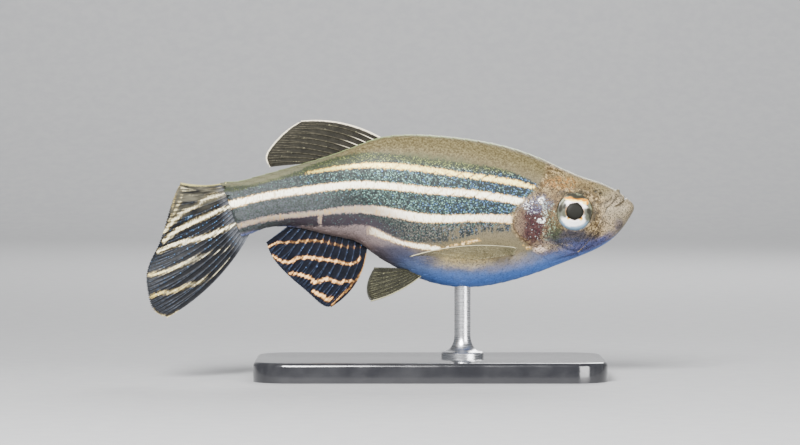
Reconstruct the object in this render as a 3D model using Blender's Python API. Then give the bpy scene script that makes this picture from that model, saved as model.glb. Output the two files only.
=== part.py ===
"""Zebra danio held on a display stand: a still model at life size, in a swimming pose.

Lengths in this script are millimetres, and each mesh is written in metres as it is made.
+X runs to the snout, -Y is the side of the fish's right flank and +Z is up. The origin is
the centre of the underside of the stand's base.
"""

import math

import bmesh
import bpy
import numpy as np
from mathutils import Vector

MM = 0.001
GAP = 0.3

# Driving sizes of the fish
SNOUT_X = 16.32
TAIL_END_X = -15.25
TAIL_END_LEAN = -0.45
TRUNK_TAIL_X = -10.7
ROLL = math.tan(math.radians(4.0))
BEND_START_X = 2.0
BEND_LENGTH = 18.0
BEND_OFFSET = 4.4
LEAN_START_X = -7.0

# The back and the belly in the side view, from the snout to the tail fin
SNOUT_Z = 13.6
BACK = [
    (16.0, 14.17), (15.6, 14.46), (15.2, 14.8), (14.4, 15.26), (13.6, 15.62), (12.4, 16.0),
    (10.0, 17.02), (7.2, 18.16), (4.0, 18.94), (0.8, 19.34), (-2.4, 19.42), (-4.0, 19.2),
    (-5.6, 18.66), (-8.8, 17.52), (-11.14, 16.86), (-12.55, 16.46), (-13.34, 16.25),
    (-14.12, 16.03), (-15.05, 15.8), (-15.98, 15.74), (-16.8, 15.7),
]
BELLY = [
    (16.0, 12.86), (15.0, 11.5), (13.6, 10.46), (11.2, 9.42), (8.8, 8.52), (5.6, 7.58),
    (3.0, 7.26), (0.8, 7.48), (-0.8, 7.96), (-2.4, 8.72), (-3.8, 9.48), (-4.8, 10.2),
    (-5.7, 10.86), (-7.0, 11.26), (-8.8, 11.68), (-10.4, 12.06), (-12.0, 12.2),
    (-13.0, 12.1), (-13.8, 11.82), (-14.6, 11.5), (-15.4, 11.26), (-16.8, 11.0),
]
HALF_WIDTH = [
    (16.0, 0.72), (15.2, 1.14), (13.6, 1.56), (12.4, 1.76), (11.2, 1.98), (9.2, 2.42),
    (7.6, 2.68), (5.6, 2.86), (2.8, 2.98), (0.0, 2.92), (-2.4, 2.66), (-4.8, 2.2), (-7.0, 1.8),
    (-10.4, 1.36), (-13.44, 1.0), (-15.2, 0.8), (-16.8, 0.7),
]
WIDEST_SHARE = [(16.32, 0.5), (12.0, 0.5), (8.0, 0.46), (3.0, 0.42), (-3.0, 0.44), (-8.0, 0.5), (-16.8, 0.5)]
UPPER_FULLNESS = 1.9
LOWER_FULLNESS = 2.3

# Resolution of the body
BODY_AROUND = 28
BODY_STEP = 0.95

# The gill opening parts the head from the trunk, and the mouth parts the lower jaw
HEAD_EDGE = [
    (9.95, 18.7), (9.35, 16.8), (8.6, 15.25), (7.6, 14.3), (6.8, 13.48), (6.5, 12.7), (6.62, 12.0),
    (7.1, 11.3), (7.8, 10.7), (8.65, 10.0), (9.4, 9.2), (9.95, 7.5),
]
MOUTH_EDGE = [
    (15.75, 15.1), (15.4, 14.28), (14.95, 13.92), (14.3, 13.48), (13.95, 12.9), (13.75, 12.1),
    (13.45, 11.0), (13.0, 9.1),
]
MOUTH_CORNER = (13.98, 13.1)

# Gill covers
GILL_FRONT = [(7.9, 14.22), (8.8, 13.8), (9.3, 12.9), (9.6, 11.7), (9.62, 10.6), (9.3, 9.85)]
GILL_REAR_TOP_Z = 14.12
GILL_REAR_BOTTOM_Z = 9.6
GILL_RAISE = 0.1
GILL_THICK = 0.5

# Eyes
EYE_X = 11.5
EYE_Z = 13.3
EYE_RADIUS = 1.62
EYE_CENTRE = 1.3
EYE_BULGE = 1.12
EYE_DEPTH = 0.72
EYE_TURN = (-0.2, -0.06)

# Nostrils, lips and barbels
NOSTRILS = [(13.62, 14.78, 0.18), (13.2, 14.92, 0.22)]
LIP_RADIUS = 0.2
LIP_SET_BACK = 0.34
BARBEL_ROOT_RADIUS = 0.25
BARBEL_TIP_RADIUS = 0.1
SNOUT_BARBEL = [(14.45, 14.52), (14.15, 14.32), (13.8, 14.18), (13.35, 14.1)]
MOUTH_BARBEL = [(13.55, 12.65), (13.3, 12.1), (12.85, 11.35), (12.3, 10.6), (11.8, 10.1)]

# Fins: thickness at the root and the tip, of the membrane and over a ray
MEMBRANE_THICK = (0.52, 0.36)
RAY_THICK = (0.86, 0.46)

# Each fin: its rays, where its base begins and ends, the tips of its rays and how far the
# first and the last ray bend off their chord, as a share of its length
DORSAL_RAYS = 9
DORSAL_BASE_X = (-3.9, -10.1)
DORSAL_TIPS = [(-10.3, 20.55), (-11.2, 20.0), (-12.0, 19.3), (-12.65, 18.55), (-13.08, 17.7), (-12.78, 16.9)]
DORSAL_BULGE = (-0.08, 0.0)
DORSAL_CURL = 0.5

ANAL_RAYS = 14
ANAL_BASE_X = (-5.05, -11.3)
ANAL_TIPS = [
    (-7.95, 5.65), (-8.7, 5.85), (-9.7, 6.75), (-10.6, 7.55), (-11.5, 8.4), (-12.5, 9.6), (-13.05, 10.9),
]
ANAL_BULGE = (0.13, 0.0)
ANAL_CURL = 0.4

CAUDAL_RAYS = 19
CAUDAL_ROOT = ((-16.45, 15.62), (-14.52, 11.3))
CAUDAL_TIPS = [
    (-20.0, 15.6), (-20.5, 14.4), (-20.95, 12.83), (-21.5, 10.95), (-22.1, 9.68), (-22.5, 8.4),
    (-22.4, 7.0), (-21.95, 5.6), (-20.9, 4.95),
]
CAUDAL_CURL = [(0.0, 5.4), (0.25, 2.9), (0.5, 0.6), (0.75, -0.7), (1.0, -1.0)]
CAUDAL_BULGE = (0.04, 0.07)

PECTORAL_RAYS = 11
PECTORAL_ROOTS = ((6.8, 10.5), (6.55, 9.95))
PECTORAL_TIPS = [(-1.65, 9.8), (-0.5, 9.9), (1.2, 9.75), (3.4, 9.55)]
PECTORAL_BULGE = (-0.06, 0.0)
PECTORAL_STAND_OFF = 0.75
PECTORAL_SPREAD = 0.9

PELVIC_RAYS = 8
PELVIC_BASE_X = (-0.7, -1.9)
PELVIC_SIDE = 0.95
PELVIC_TIPS = [(-4.75, 6.2), (-5.05, 6.8), (-5.0, 7.7), (-4.5, 8.8)]
PELVIC_SPREAD = (1.3, 0.1)
PELVIC_BULGE = (0.06, 0.0)

# Stand
BASE_LENGTH = 28.0
BASE_WIDTH = 16.0
BASE_HEIGHT = 1.6
BASE_CORNER = 3.0
BASE_EDGE = 0.35
ROD_X = 2.6
ROD_RADIUS = 0.65
FOOT_RADIUS = 1.7
FOOT_HEIGHT = 0.45

# Colour, metallic value and roughness of each finish
FINISHES = {
    "back_skin": ((0.26, 0.24, 0.15), 0.1, 0.4),
    "flank_skin": ((0.45, 0.5, 0.52), 0.3, 0.35),
    "gill_skin": ((0.42, 0.25, 0.24), 0.2, 0.35),
    "jaw_skin": ((0.5, 0.44, 0.36), 0.0, 0.45),
    "fin_membrane": ((0.16, 0.19, 0.25), 0.0, 0.45),
    "pale_membrane": ((0.42, 0.38, 0.26), 0.0, 0.45),
    "eye_silver": ((0.85, 0.8, 0.7), 0.4, 0.15),
    "stand_black": ((0.02, 0.02, 0.022), 0.0, 0.25),
    "stand_steel": ((0.62, 0.62, 0.63), 1.0, 0.25),
}


def clear_scene():
    """Remove the objects that the scene starts with."""
    for old in list(bpy.data.objects):
        bpy.data.objects.remove(old, do_unlink=True)


def finish(name):
    """Return the material of a finish, made the first time it is asked for."""
    if name in bpy.data.materials:
        return bpy.data.materials[name]
    colour, metallic, roughness = FINISHES[name]
    material = bpy.data.materials.new(name)
    material.use_nodes = True
    shader = material.node_tree.nodes["Principled BSDF"]
    shader.inputs["Base Color"].default_value = (*colour, 1.0)
    shader.inputs["Metallic"].default_value = metallic
    shader.inputs["Roughness"].default_value = roughness
    return material


def add_object(name, points, faces, finish_name=None, smooth_angle=40.0):
    """Make a closed mesh object from points in millimetres, with its faces pointing out."""
    mesh = bpy.data.meshes.new(name)
    mesh.from_pydata([Vector(point) * MM for point in points], [], faces)
    body = bmesh.new()
    body.from_mesh(mesh)
    bmesh.ops.recalc_face_normals(body, faces=body.faces)
    body.to_mesh(mesh)
    body.free()
    mesh.shade_smooth()
    mesh.set_sharp_from_angle(angle=math.radians(smooth_angle))
    obj = bpy.data.objects.new(name, mesh)
    bpy.context.scene.collection.objects.link(obj)
    if finish_name:
        mesh.materials.append(finish(finish_name))
    return obj


def smooth_line(points):
    """Return the natural cubic spline through (place, value) points, as a function."""
    points = sorted(points)
    places = np.array([point[0] for point in points])
    values = np.array([point[1] for point in points])
    steps = np.diff(places)
    count = len(places)
    system = np.eye(count)
    right = np.zeros(count)
    for i in range(1, count - 1):
        system[i, i - 1:i + 2] = steps[i - 1], 2 * (steps[i - 1] + steps[i]), steps[i]
        right[i] = 6 * ((values[i + 1] - values[i]) / steps[i] - (values[i] - values[i - 1]) / steps[i - 1])
    bends = np.linalg.solve(system, right)

    def value(place):
        i = min(max(int(np.searchsorted(places, place)) - 1, 0), count - 2)
        after = (place - places[i]) / steps[i]
        before = 1.0 - after
        curve = (before ** 3 - before) * bends[i] + (after ** 3 - after) * bends[i + 1]
        return float(before * values[i] + after * values[i + 1] + curve * steps[i] ** 2 / 6)

    return value


def smooth_path(points, count):
    """Return count points evenly spaced by share along a smooth path through the given ones."""
    lengths = [0.0]
    for a, b in zip(points, points[1:]):
        lengths.append(lengths[-1] + math.dist(a, b))
    axes = [smooth_line([(s, p[axis]) for s, p in zip(lengths, points)]) for axis in range(len(points[0]))]
    return [tuple(axis(lengths[-1] * i / (count - 1)) for axis in axes) for i in range(count)]


def from_snout(x):
    """Return the root of the distance behind the snout, in which the nose is a smooth curve."""
    return math.sqrt(max(SNOUT_X - x, 0.0))


def body_line(points, nose):
    """Return one of the body's outlines as a function of from_snout(x)."""
    return smooth_line([(0.0, nose)] + [(from_snout(x), value) for x, value in points if x < SNOUT_X])


back_line = body_line(BACK, SNOUT_Z)
belly_line = body_line(BELLY, SNOUT_Z)
width_line = body_line(HALF_WIDTH, 0.0)
share_line = body_line(WIDEST_SHARE[1:], WIDEST_SHARE[0][1])


def section(x):
    """Return the widest height, half depths above and below it, and half width of the section at x."""
    s = from_snout(x)
    top = back_line(s)
    bottom = belly_line(s)
    widest = bottom + share_line(s) * (top - bottom)
    return widest, top - widest, widest - bottom, width_line(s)


def spine_y(x):
    """Return how far the bend of the rear body carries its middle to the side at x."""
    return -BEND_OFFSET * (max(BEND_START_X - x, 0.0) / BEND_LENGTH) ** 2


def spine_turn(x):
    """Return the stretch that the bend gives to a width measured along Y."""
    slope = 2 * BEND_OFFSET * max(BEND_START_X - x, 0.0) / BEND_LENGTH ** 2
    return math.sqrt(1 + slope ** 2)


def middle_y(x, z):
    """Return the Y of the fish's own middle plane, which rolls a little and bends to the side."""
    return spine_y(x) - ROLL * (z - section(x)[0])


def flank_y(x, z, side, grow=0.0):
    """Return the Y of the skin at x and height z; side is -1 on the fish's right flank."""
    widest, above, below, half = section(x)
    reach = (above if z > widest else below) + grow
    power = UPPER_FULLNESS if z > widest else LOWER_FULLNESS
    share = min(abs(z - widest) / reach, 1.0)
    out = (half + grow) * spine_turn(x) * math.sqrt(1 - share ** power)
    return middle_y(x, z) + side * out


def lean(x):
    """Return how much the sections of the rear body lean, to end square to the tail fin."""
    share = (LEAN_START_X - x) / (LEAN_START_X - TAIL_END_X)
    return TAIL_END_LEAN * min(max(share, 0.0), 1.0) ** 2


def ring(x, around, grow=0.0):
    """Return the points of one section of the body, from the back down the left flank and round."""
    widest, above, below, _ = section(x)
    points = []
    for i in range(around):
        angle = 2 * math.pi * i / around
        height = math.cos(angle)
        px = x + lean(x) * (above if height > 0 else below) * height
        p_widest, p_above, p_below, _ = section(px)
        z = p_widest + ((p_above if height > 0 else p_below) + grow) * height
        side = 1 if math.sin(angle) > 0 else -1
        points.append((px, flank_y(px, z, side, grow), z))
    return points


def body_places(first, last):
    """Return the X of each section from first back to last, closer together at the snout."""
    places = []
    s = from_snout(first)
    if first == SNOUT_X:
        s = 0.24
    end = from_snout(last)
    while SNOUT_X - s ** 2 > last + 0.3 * BODY_STEP:
        places.append(SNOUT_X - s ** 2)
        s += min(0.24, BODY_STEP / (2 * s) if s > 0 else 0.24, end - s + 1.0)
    return places + [last]


def body_loft(name, first, last, grow=0.0, finish_name=None):
    """Make the body as a closed loft between two places along X; at the snout it ends in a point."""
    rings = [ring(x, BODY_AROUND, grow) for x in body_places(first, last)]
    points = [point for one in rings for point in one]
    faces = []
    for r in range(len(rings) - 1):
        for i in range(BODY_AROUND):
            j = (i + 1) % BODY_AROUND
            a, b = r * BODY_AROUND, (r + 1) * BODY_AROUND
            faces.append((a + i, a + j, b + j, b + i))
    front = list(range(BODY_AROUND))
    if first == SNOUT_X:
        points.append((SNOUT_X, 0.0, SNOUT_Z))
        tip = len(points) - 1
        faces += [(front[(i + 1) % BODY_AROUND], front[i], tip) for i in range(BODY_AROUND)]
    else:
        faces.append(tuple(reversed(front)))
    rear = (len(rings) - 1) * BODY_AROUND
    faces.append(tuple(range(rear, rear + BODY_AROUND)))
    return add_object(name, points, faces, finish_name)


def prism(name, outline, low_y, high_y):
    """Make a closed prism from an outline in the side view, between two places along Y."""
    count = len(outline)
    points = [(x, low_y, z) for x, z in outline] + [(x, high_y, z) for x, z in outline]
    faces = [tuple(range(count)), tuple(reversed(range(count, 2 * count)))]
    faces += [(i, i + count, (i + 1) % count + count, (i + 1) % count) for i in range(count)]
    return add_object(name, points, faces)


def shifted(line, distance, closed=False):
    """Return a line of the side view moved sideways, to the left of its own direction."""
    moved = []
    count = len(line)
    for i, (x, z) in enumerate(line):
        before = line[(i - 1) % count] if closed or i > 0 else line[i]
        after = line[(i + 1) % count] if closed or i < count - 1 else line[i]
        along = Vector((after[0] - before[0], after[1] - before[1])).normalized()
        moved.append((x - along.y * distance, z + along.x * distance))
    return moved


def ribbon(name, line, thickness, reach=5.0):
    """Make a thin wall that follows a line of the side view right through the body."""
    outline = shifted(line, thickness / 2) + list(reversed(shifted(line, -thickness / 2)))
    return prism(name, outline, -reach, reach)


def apply_boolean(target, tools, operation, solver="EXACT"):
    """Cut, join or meet target with closed tool objects, then remove the tools."""
    holder = bpy.data.collections.new("tools")
    bpy.context.scene.collection.children.link(holder)
    for tool in tools:
        holder.objects.link(tool)
    modifier = target.modifiers.new("shape", "BOOLEAN")
    modifier.operation = operation
    modifier.operand_type = "COLLECTION"
    modifier.collection = holder
    modifier.solver = solver
    bpy.context.view_layer.objects.active = target
    bpy.ops.object.modifier_apply(modifier=modifier.name)
    for tool in tools:
        bpy.data.objects.remove(tool, do_unlink=True)
    bpy.data.collections.remove(holder)


def keep_shell(obj, wanted=None):
    """Keep the largest closed surface of a mesh, or the largest whose middle passes a test."""
    body = bmesh.new()
    body.from_mesh(obj.data)
    unseen = set(body.faces)
    shells = []
    while unseen:
        shell = {unseen.pop()}
        edge_of_search = list(shell)
        while edge_of_search:
            face = edge_of_search.pop()
            for edge in face.edges:
                for other in edge.link_faces:
                    if other in unseen:
                        unseen.discard(other)
                        shell.add(other)
                        edge_of_search.append(other)
        shells.append(shell)
    fitting = []
    for shell in shells:
        area = sum(face.calc_area() for face in shell)
        middle = sum((face.calc_center_median() * face.calc_area() for face in shell), Vector()) / area
        if wanted is None or wanted(middle / MM):
            fitting.append((area, len(fitting), shell))
    kept = max(fitting)[2]
    bmesh.ops.delete(body, geom=[face for face in body.faces if face not in kept], context="FACES")
    bmesh.ops.triangulate(body, faces=body.faces)
    body.to_mesh(obj.data)
    body.free()
    obj.data.shade_smooth()
    obj.data.set_sharp_from_angle(angle=math.radians(40.0))


def ellipsoid(name, centre, radii, segments=20, rings=12, finish_name=None, turn=(0.0, 0.0)):
    """Make an ellipsoid whose poles are on Y; radii are X, towards -Y, towards +Y and Z.

    turn says how far it leans along Y for each step along X and Z.
    """
    points = [(centre[0], centre[1] - radii[1], centre[2])]
    for r in range(1, rings):
        angle = math.pi * r / rings
        y = -math.cos(angle)
        y = centre[1] + y * (radii[1] if y < 0 else radii[2])
        for i in range(segments):
            bearing = 2 * math.pi * i / segments
            dx = radii[0] * math.sin(angle) * math.cos(bearing)
            dz = radii[3] * math.sin(angle) * math.sin(bearing)
            points.append((centre[0] + dx, y + turn[0] * dx + turn[1] * dz, centre[2] + dz))
    points.append((centre[0], centre[1] + radii[2], centre[2]))
    faces = []
    for i in range(segments):
        j = (i + 1) % segments
        faces.append((0, 1 + i, 1 + j))
        last = 1 + (rings - 2) * segments
        faces.append((len(points) - 1, last + j, last + i))
        for r in range(rings - 2):
            a, b = 1 + r * segments, 1 + (r + 1) * segments
            faces.append((a + i, b + i, b + j, a + j))
    return add_object(name, points, faces, finish_name)


def tube(name, path, radii, sides=6, finish_name=None):
    """Make a closed tube along a path, with a radius at each point of it."""
    points, faces = [], []
    across = None
    for i, place in enumerate(path):
        before = Vector(path[max(i - 1, 0)])
        after = Vector(path[min(i + 1, len(path) - 1)])
        along = (after - before).normalized()
        if across is None:
            across = along.orthogonal()
        across = (across - along * across.dot(along)).normalized()
        other = along.cross(across)
        for k in range(sides):
            turn = 2 * math.pi * k / sides
            offset = (across * math.cos(turn) + other * math.sin(turn)) * radii[i]
            points.append(Vector(place) + offset)
    for i in range(len(path) - 1):
        for k in range(sides):
            j = (k + 1) % sides
            a, b = i * sides, (i + 1) * sides
            faces.append((a + k, a + j, b + j, b + k))
    faces.append(tuple(reversed(range(sides))))
    faces.append(tuple(range((len(path) - 1) * sides, len(path) * sides)))
    return add_object(name, points, faces, finish_name)


def eye_cutter(name, side, grow, finish_name=None):
    """Make an eyeball, flatter on its inner half; grown it is the cutter of its socket."""
    outer, inner = EYE_BULGE + grow, EYE_DEPTH + grow
    towards = (outer, inner) if side < 0 else (inner, outer)
    centre = (EYE_X, middle_y(EYE_X, EYE_Z) + side * EYE_CENTRE, EYE_Z)
    radius = EYE_RADIUS + grow
    turn = (side * EYE_TURN[0], side * EYE_TURN[1] - ROLL)
    return ellipsoid(name, centre, (radius, *towards, radius), finish_name=finish_name, turn=turn)


def gill_outline():
    """Return the closed outline of a gill cover in the side view."""
    edge = smooth_path(HEAD_EDGE, 60)
    rear = [point for point in edge if GILL_REAR_BOTTOM_Z < point[1] < GILL_REAR_TOP_Z][::2]
    rear = shifted(rear, GAP / 2)
    return rear + list(reversed(smooth_path(GILL_FRONT, 9)))


def gill_blank(name, outline, side):
    """Make the prism that an outline of a gill cover sweeps outwards on one side."""
    low, high = (0.6, 5.0) if side > 0 else (-5.0, -0.6)
    return prism(name, outline, low, high)


def build_gill_cover(name, side):
    """Make a gill cover as a plate that stands a little proud of the head."""
    cover = gill_blank(name, gill_outline(), side)
    apply_boolean(cover, [body_loft("outside", 11.5, 5.0, GILL_RAISE)], "INTERSECT")
    apply_boolean(cover, [body_loft("inside", 12.0, 4.5, GILL_RAISE - GILL_THICK)], "DIFFERENCE")
    keep_shell(cover)
    cover.data.materials.clear()
    cover.data.materials.append(finish("gill_skin"))
    return cover


def gill_recess(side):
    """Make the cutter of the recess that a gill cover lies in."""
    outline = gill_outline()
    grown = shifted(outline, GAP, closed=True)
    if abs(polygon_area(grown)) < abs(polygon_area(outline)):
        grown = shifted(outline, -GAP, closed=True)
    blank = gill_blank("recess", grown, side)
    apply_boolean(blank, [body_loft("floor", 12.0, 4.5, GILL_RAISE - GILL_THICK - GAP)], "DIFFERENCE")
    return blank


def polygon_area(outline):
    """Return the signed area of a closed outline."""
    pairs = zip(outline, outline[1:] + outline[:1])
    return sum(a[0] * b[1] - b[0] * a[1] for a, b in pairs) / 2


def lip(set_back, sides=6):
    """Make a lip as a round roll over the skin beside the mouth, from corner to corner."""
    edge = smooth_path(MOUTH_EDGE, 60)
    edge = shifted([point for point in edge if point[1] > MOUTH_CORNER[1]], set_back)
    inside = [point for point in edge if point[1] < back_line(from_snout(point[0])) - 0.02]
    steps = 8
    half = []
    for i in range(steps):
        place = (1 - math.cos(math.pi / 2 * i / (steps - 1))) * (len(inside) - 1)
        half.append(inside[min(int(round(place)), len(inside) - 1)])
    path = [(x, flank_y(x, z, -1, -0.04), z) for x, z in reversed(half)]
    path += [(x, flank_y(x, z, 1, -0.04), z) for x, z in half]
    radii = [LIP_RADIUS * (0.7 if i in (0, len(path) - 1) else 1.0) for i in range(len(path))]
    return tube("lip", path, radii, sides)


def build_head():
    """Make the head, parted from the trunk and the jaw, with sockets, nostrils, lip and gill recesses."""
    head = body_loft("head", SNOUT_X, 5.2, finish_name="back_skin")
    apply_boolean(head, [ribbon("opening", smooth_path(HEAD_EDGE, 30), GAP)], "DIFFERENCE")
    keep_shell(head, lambda middle: middle.x > 9.0)
    apply_boolean(head, [ribbon("mouth", smooth_path(MOUTH_EDGE, 24), GAP)], "DIFFERENCE")
    keep_shell(head)
    apply_boolean(head, [lip(-LIP_SET_BACK)], "UNION", "MANIFOLD")
    keep_shell(head)
    tools = []
    for side in (-1, 1):
        tools += [gill_recess(side), eye_cutter("socket", side, GAP)]
        for x, z, radius in NOSTRILS:
            place = (x, flank_y(x, z, side, -0.02), z)
            tools.append(ellipsoid("pit", place, (radius, radius, radius, radius), 10, 6))
    apply_boolean(head, tools, "DIFFERENCE", "MANIFOLD")
    keep_shell(head)
    return head


def build_jaw():
    """Make the lower jaw, which ends the head in front and turns up to the mouth."""
    jaw = body_loft("lower_jaw", SNOUT_X, 11.0, finish_name="jaw_skin")
    apply_boolean(jaw, [ribbon("mouth", smooth_path(MOUTH_EDGE, 24), GAP)], "DIFFERENCE")
    keep_shell(jaw, lambda middle: middle.x > 14.2)
    apply_boolean(jaw, [lip(LIP_SET_BACK)], "UNION", "MANIFOLD")
    keep_shell(jaw)
    return jaw


def build_trunk():
    """Make the trunk, from the gill openings to the rear of the anal fin."""
    trunk = body_loft("trunk", 12.0, TRUNK_TAIL_X + GAP / 2, finish_name="flank_skin")
    apply_boolean(trunk, [ribbon("opening", smooth_path(HEAD_EDGE, 30), GAP)], "DIFFERENCE")
    keep_shell(trunk, lambda middle: middle.x < 7.0)
    return trunk


def build_tail():
    """Make the stalk of the tail, which carries the tail fin."""
    return body_loft("tail", TRUNK_TAIL_X - GAP / 2, TAIL_END_X, finish_name="flank_skin")


def build_barbel(name, line, side):
    """Make a barbel that runs back over the skin and tapers to its tip."""
    path = []
    steps = smooth_path(line, 7)
    for i, (x, z) in enumerate(steps):
        stand_off = GAP + BARBEL_ROOT_RADIUS + 0.02 * i
        path.append((x, flank_y(x, z, side) + side * stand_off, z))
    last = len(steps) - 1
    taper = (BARBEL_TIP_RADIUS - BARBEL_ROOT_RADIUS) / last
    radii = [BARBEL_ROOT_RADIUS + taper * i for i in range(last + 1)]
    return tube(name, path, radii, 6, "pale_membrane")


def bezier(root, tip, bulge, share):
    """Return the point at a share of a curved ray in the side view."""
    along = (tip[0] - root[0], tip[1] - root[1])
    handle = (
        (root[0] + tip[0]) / 2 - along[1] * bulge * 2,
        (root[1] + tip[1]) / 2 + along[0] * bulge * 2,
    )
    weights = ((1 - share) ** 2, 2 * share * (1 - share), share ** 2)
    return tuple(weights[0] * root[k] + weights[1] * handle[k] + weights[2] * tip[k] for k in range(2))


def build_fin(name, surface, rays, rows, finish_name, thin=1.0):
    """Make a fin whose rays are ridges in both faces of its membrane.

    surface(across, share) gives the middle of the fin, with across from the first ray to the
    last one and share from the root to the tip.
    """
    columns = []
    for ray in range(rays):
        centre = ray / (rays - 1)
        step = 1 / (rays - 1)
        columns.append((centre, True))
        if ray < rays - 1:
            columns.append((centre + 0.32 * step, False))
            columns.append((centre + 0.68 * step, False))
    small = 0.01
    left, right = [], []
    for across, on_ray in columns:
        for row in range(rows + 1):
            share = row / rows
            place = Vector(surface(across, share))
            before, after = max(across - small, 0.0), min(across + small, 1.0)
            inner, outer = max(share - small, 0.0), min(share + small, 1.0)
            a = Vector(surface(after, share)) - Vector(surface(before, share))
            b = Vector(surface(across, outer)) - Vector(surface(across, inner))
            out = a.cross(b).normalized()
            root, tip = RAY_THICK if on_ray else MEMBRANE_THICK
            half = (root + (tip - root) * share ** 1.5) * thin / 2
            left.append(place + out * half)
            right.append(place - out * half)
    count = len(left)
    step = rows + 1
    faces = []
    for c in range(len(columns) - 1):
        for row in range(rows):
            a, b = c * step + row, (c + 1) * step + row
            faces += [(a, b, b + 1), (a, b + 1, a + 1)]
            faces += [(count + a, count + b + 1, count + b), (count + a, count + a + 1, count + b + 1)]
    rim = list(range(step))
    rim += [c * step + rows for c in range(1, len(columns))]
    rim += [(len(columns) - 1) * step + row for row in range(rows - 1, -1, -1)]
    rim += [c * step for c in range(len(columns) - 2, 0, -1)]
    for a, b in zip(rim, rim[1:] + rim[:1]):
        faces += [(a, b, count + b), (a, count + b, count + a)]
    return add_object(name, left + right, faces, finish_name, smooth_angle=50.0)


def mix(ends, share):
    """Return the value at a share of the way between two ends."""
    return ends[0] + (ends[1] - ends[0]) * share


def tip_line(tips):
    """Return the edge of a fin as a function of the share across its rays."""
    last = len(tips) - 1
    lines = [smooth_line([(i / last, tip[axis]) for i, tip in enumerate(tips)]) for axis in range(2)]
    return lambda across: (lines[0](across), lines[1](across))


def build_dorsal_fin():
    """Make the fin of the back, whose rays lean well back."""
    tips = tip_line(DORSAL_TIPS)

    def surface(across, share):
        x = mix(DORSAL_BASE_X, across)
        root = (x, back_line(from_snout(x)) + GAP)
        px, pz = bezier(root, tips(across), mix(DORSAL_BULGE, across), share)
        return px, middle_y(px, pz) + DORSAL_CURL * share ** 2, pz

    return build_fin("dorsal_fin", surface, DORSAL_RAYS, 5, "pale_membrane")


def build_anal_fin():
    """Make the fin under the tail stalk, behind the vent."""
    tips = tip_line(ANAL_TIPS)

    def surface(across, share):
        x = mix(ANAL_BASE_X, across)
        root = (x, belly_line(from_snout(x)) - GAP)
        px, pz = bezier(root, tips(across), mix(ANAL_BULGE, across), share)
        return px, middle_y(px, pz) + ANAL_CURL * share ** 2, pz

    return build_fin("anal_fin", surface, ANAL_RAYS, 5, "fin_membrane")


def build_tail_fin():
    """Make the tail fin, whose upper lobe curls away to the fish's left as it sweeps."""
    tips = tip_line(CAUDAL_TIPS)
    curl = smooth_line(CAUDAL_CURL)

    def surface(across, share):
        root = tuple(CAUDAL_ROOT[0][k] + (CAUDAL_ROOT[1][k] - CAUDAL_ROOT[0][k]) * across for k in range(2))
        px, pz = bezier(root, tips(across), mix(CAUDAL_BULGE, across), share)
        return px, middle_y(*root) + curl(across) * share ** 1.6, pz

    return build_fin("tail_fin", surface, CAUDAL_RAYS, 6, "fin_membrane")


def build_pectoral_fin(name, side):
    """Make a fin of the breast, folded back along the flank and standing a little off it."""
    tips = tip_line(PECTORAL_TIPS)

    def surface(across, share):
        root = tuple(mix((PECTORAL_ROOTS[0][k], PECTORAL_ROOTS[1][k]), across) for k in range(2))
        px, pz = bezier(root, tips(across), mix(PECTORAL_BULGE, across), share)
        stand_off = PECTORAL_STAND_OFF + (1 - across) * PECTORAL_SPREAD * share
        return px, flank_y(px, pz, side) + side * stand_off, pz

    return build_fin(name, surface, PECTORAL_RAYS, 5, "pale_membrane", 0.95)


def build_pelvic_fin(name, side):
    """Make a fin of the belly, which hangs back and a little outwards."""
    tips = tip_line(PELVIC_TIPS)

    def surface(across, share):
        x = mix(PELVIC_BASE_X, across)
        widest, _, below, half = section(x)
        hang = (1 - (PELVIC_SIDE / half) ** 2) ** (1 / LOWER_FULLNESS) * below
        root = (x, widest - hang - GAP)
        px, pz = bezier(root, tips(across), mix(PELVIC_BULGE, across), share)
        out = PELVIC_SIDE + mix(PELVIC_SPREAD, across) * share
        return px, spine_y(px) + side * out - ROLL * (pz - widest), pz

    return build_fin(name, surface, PELVIC_RAYS, 4, "pale_membrane")


def build_base():
    """Make the stand's base, a plate with round corners and eased edges."""
    outline = []
    for corner in range(4):
        sx = 1 if corner in (0, 3) else -1
        sy = 1 if corner < 2 else -1
        for k in range(7):
            turn = math.pi / 2 * (corner + k / 6)
            outline.append((
                sx * (BASE_LENGTH / 2 - BASE_CORNER) + BASE_CORNER * math.cos(turn),
                sy * (BASE_WIDTH / 2 - BASE_CORNER) + BASE_CORNER * math.sin(turn),
            ))
    points, faces = [], []
    levels = [(0.0, 0.0), (0.0, BASE_HEIGHT - BASE_EDGE), (0.3 * BASE_EDGE, BASE_HEIGHT - 0.3 * BASE_EDGE),
              (BASE_EDGE, BASE_HEIGHT)]
    for inset, z in levels:
        for x, y in outline:
            shrink_x = 1 - 2 * inset / BASE_LENGTH
            shrink_y = 1 - 2 * inset / BASE_WIDTH
            points.append((x * shrink_x, y * shrink_y, z))
    count = len(outline)
    for level in range(len(levels) - 1):
        for i in range(count):
            j = (i + 1) % count
            a, b = level * count, (level + 1) * count
            faces.append((a + i, a + j, b + j, b + i))
    faces.append(tuple(reversed(range(count))))
    faces.append(tuple(range((len(levels) - 1) * count, len(levels) * count)))
    return add_object("stand_base", points, faces, "stand_black")


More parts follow.
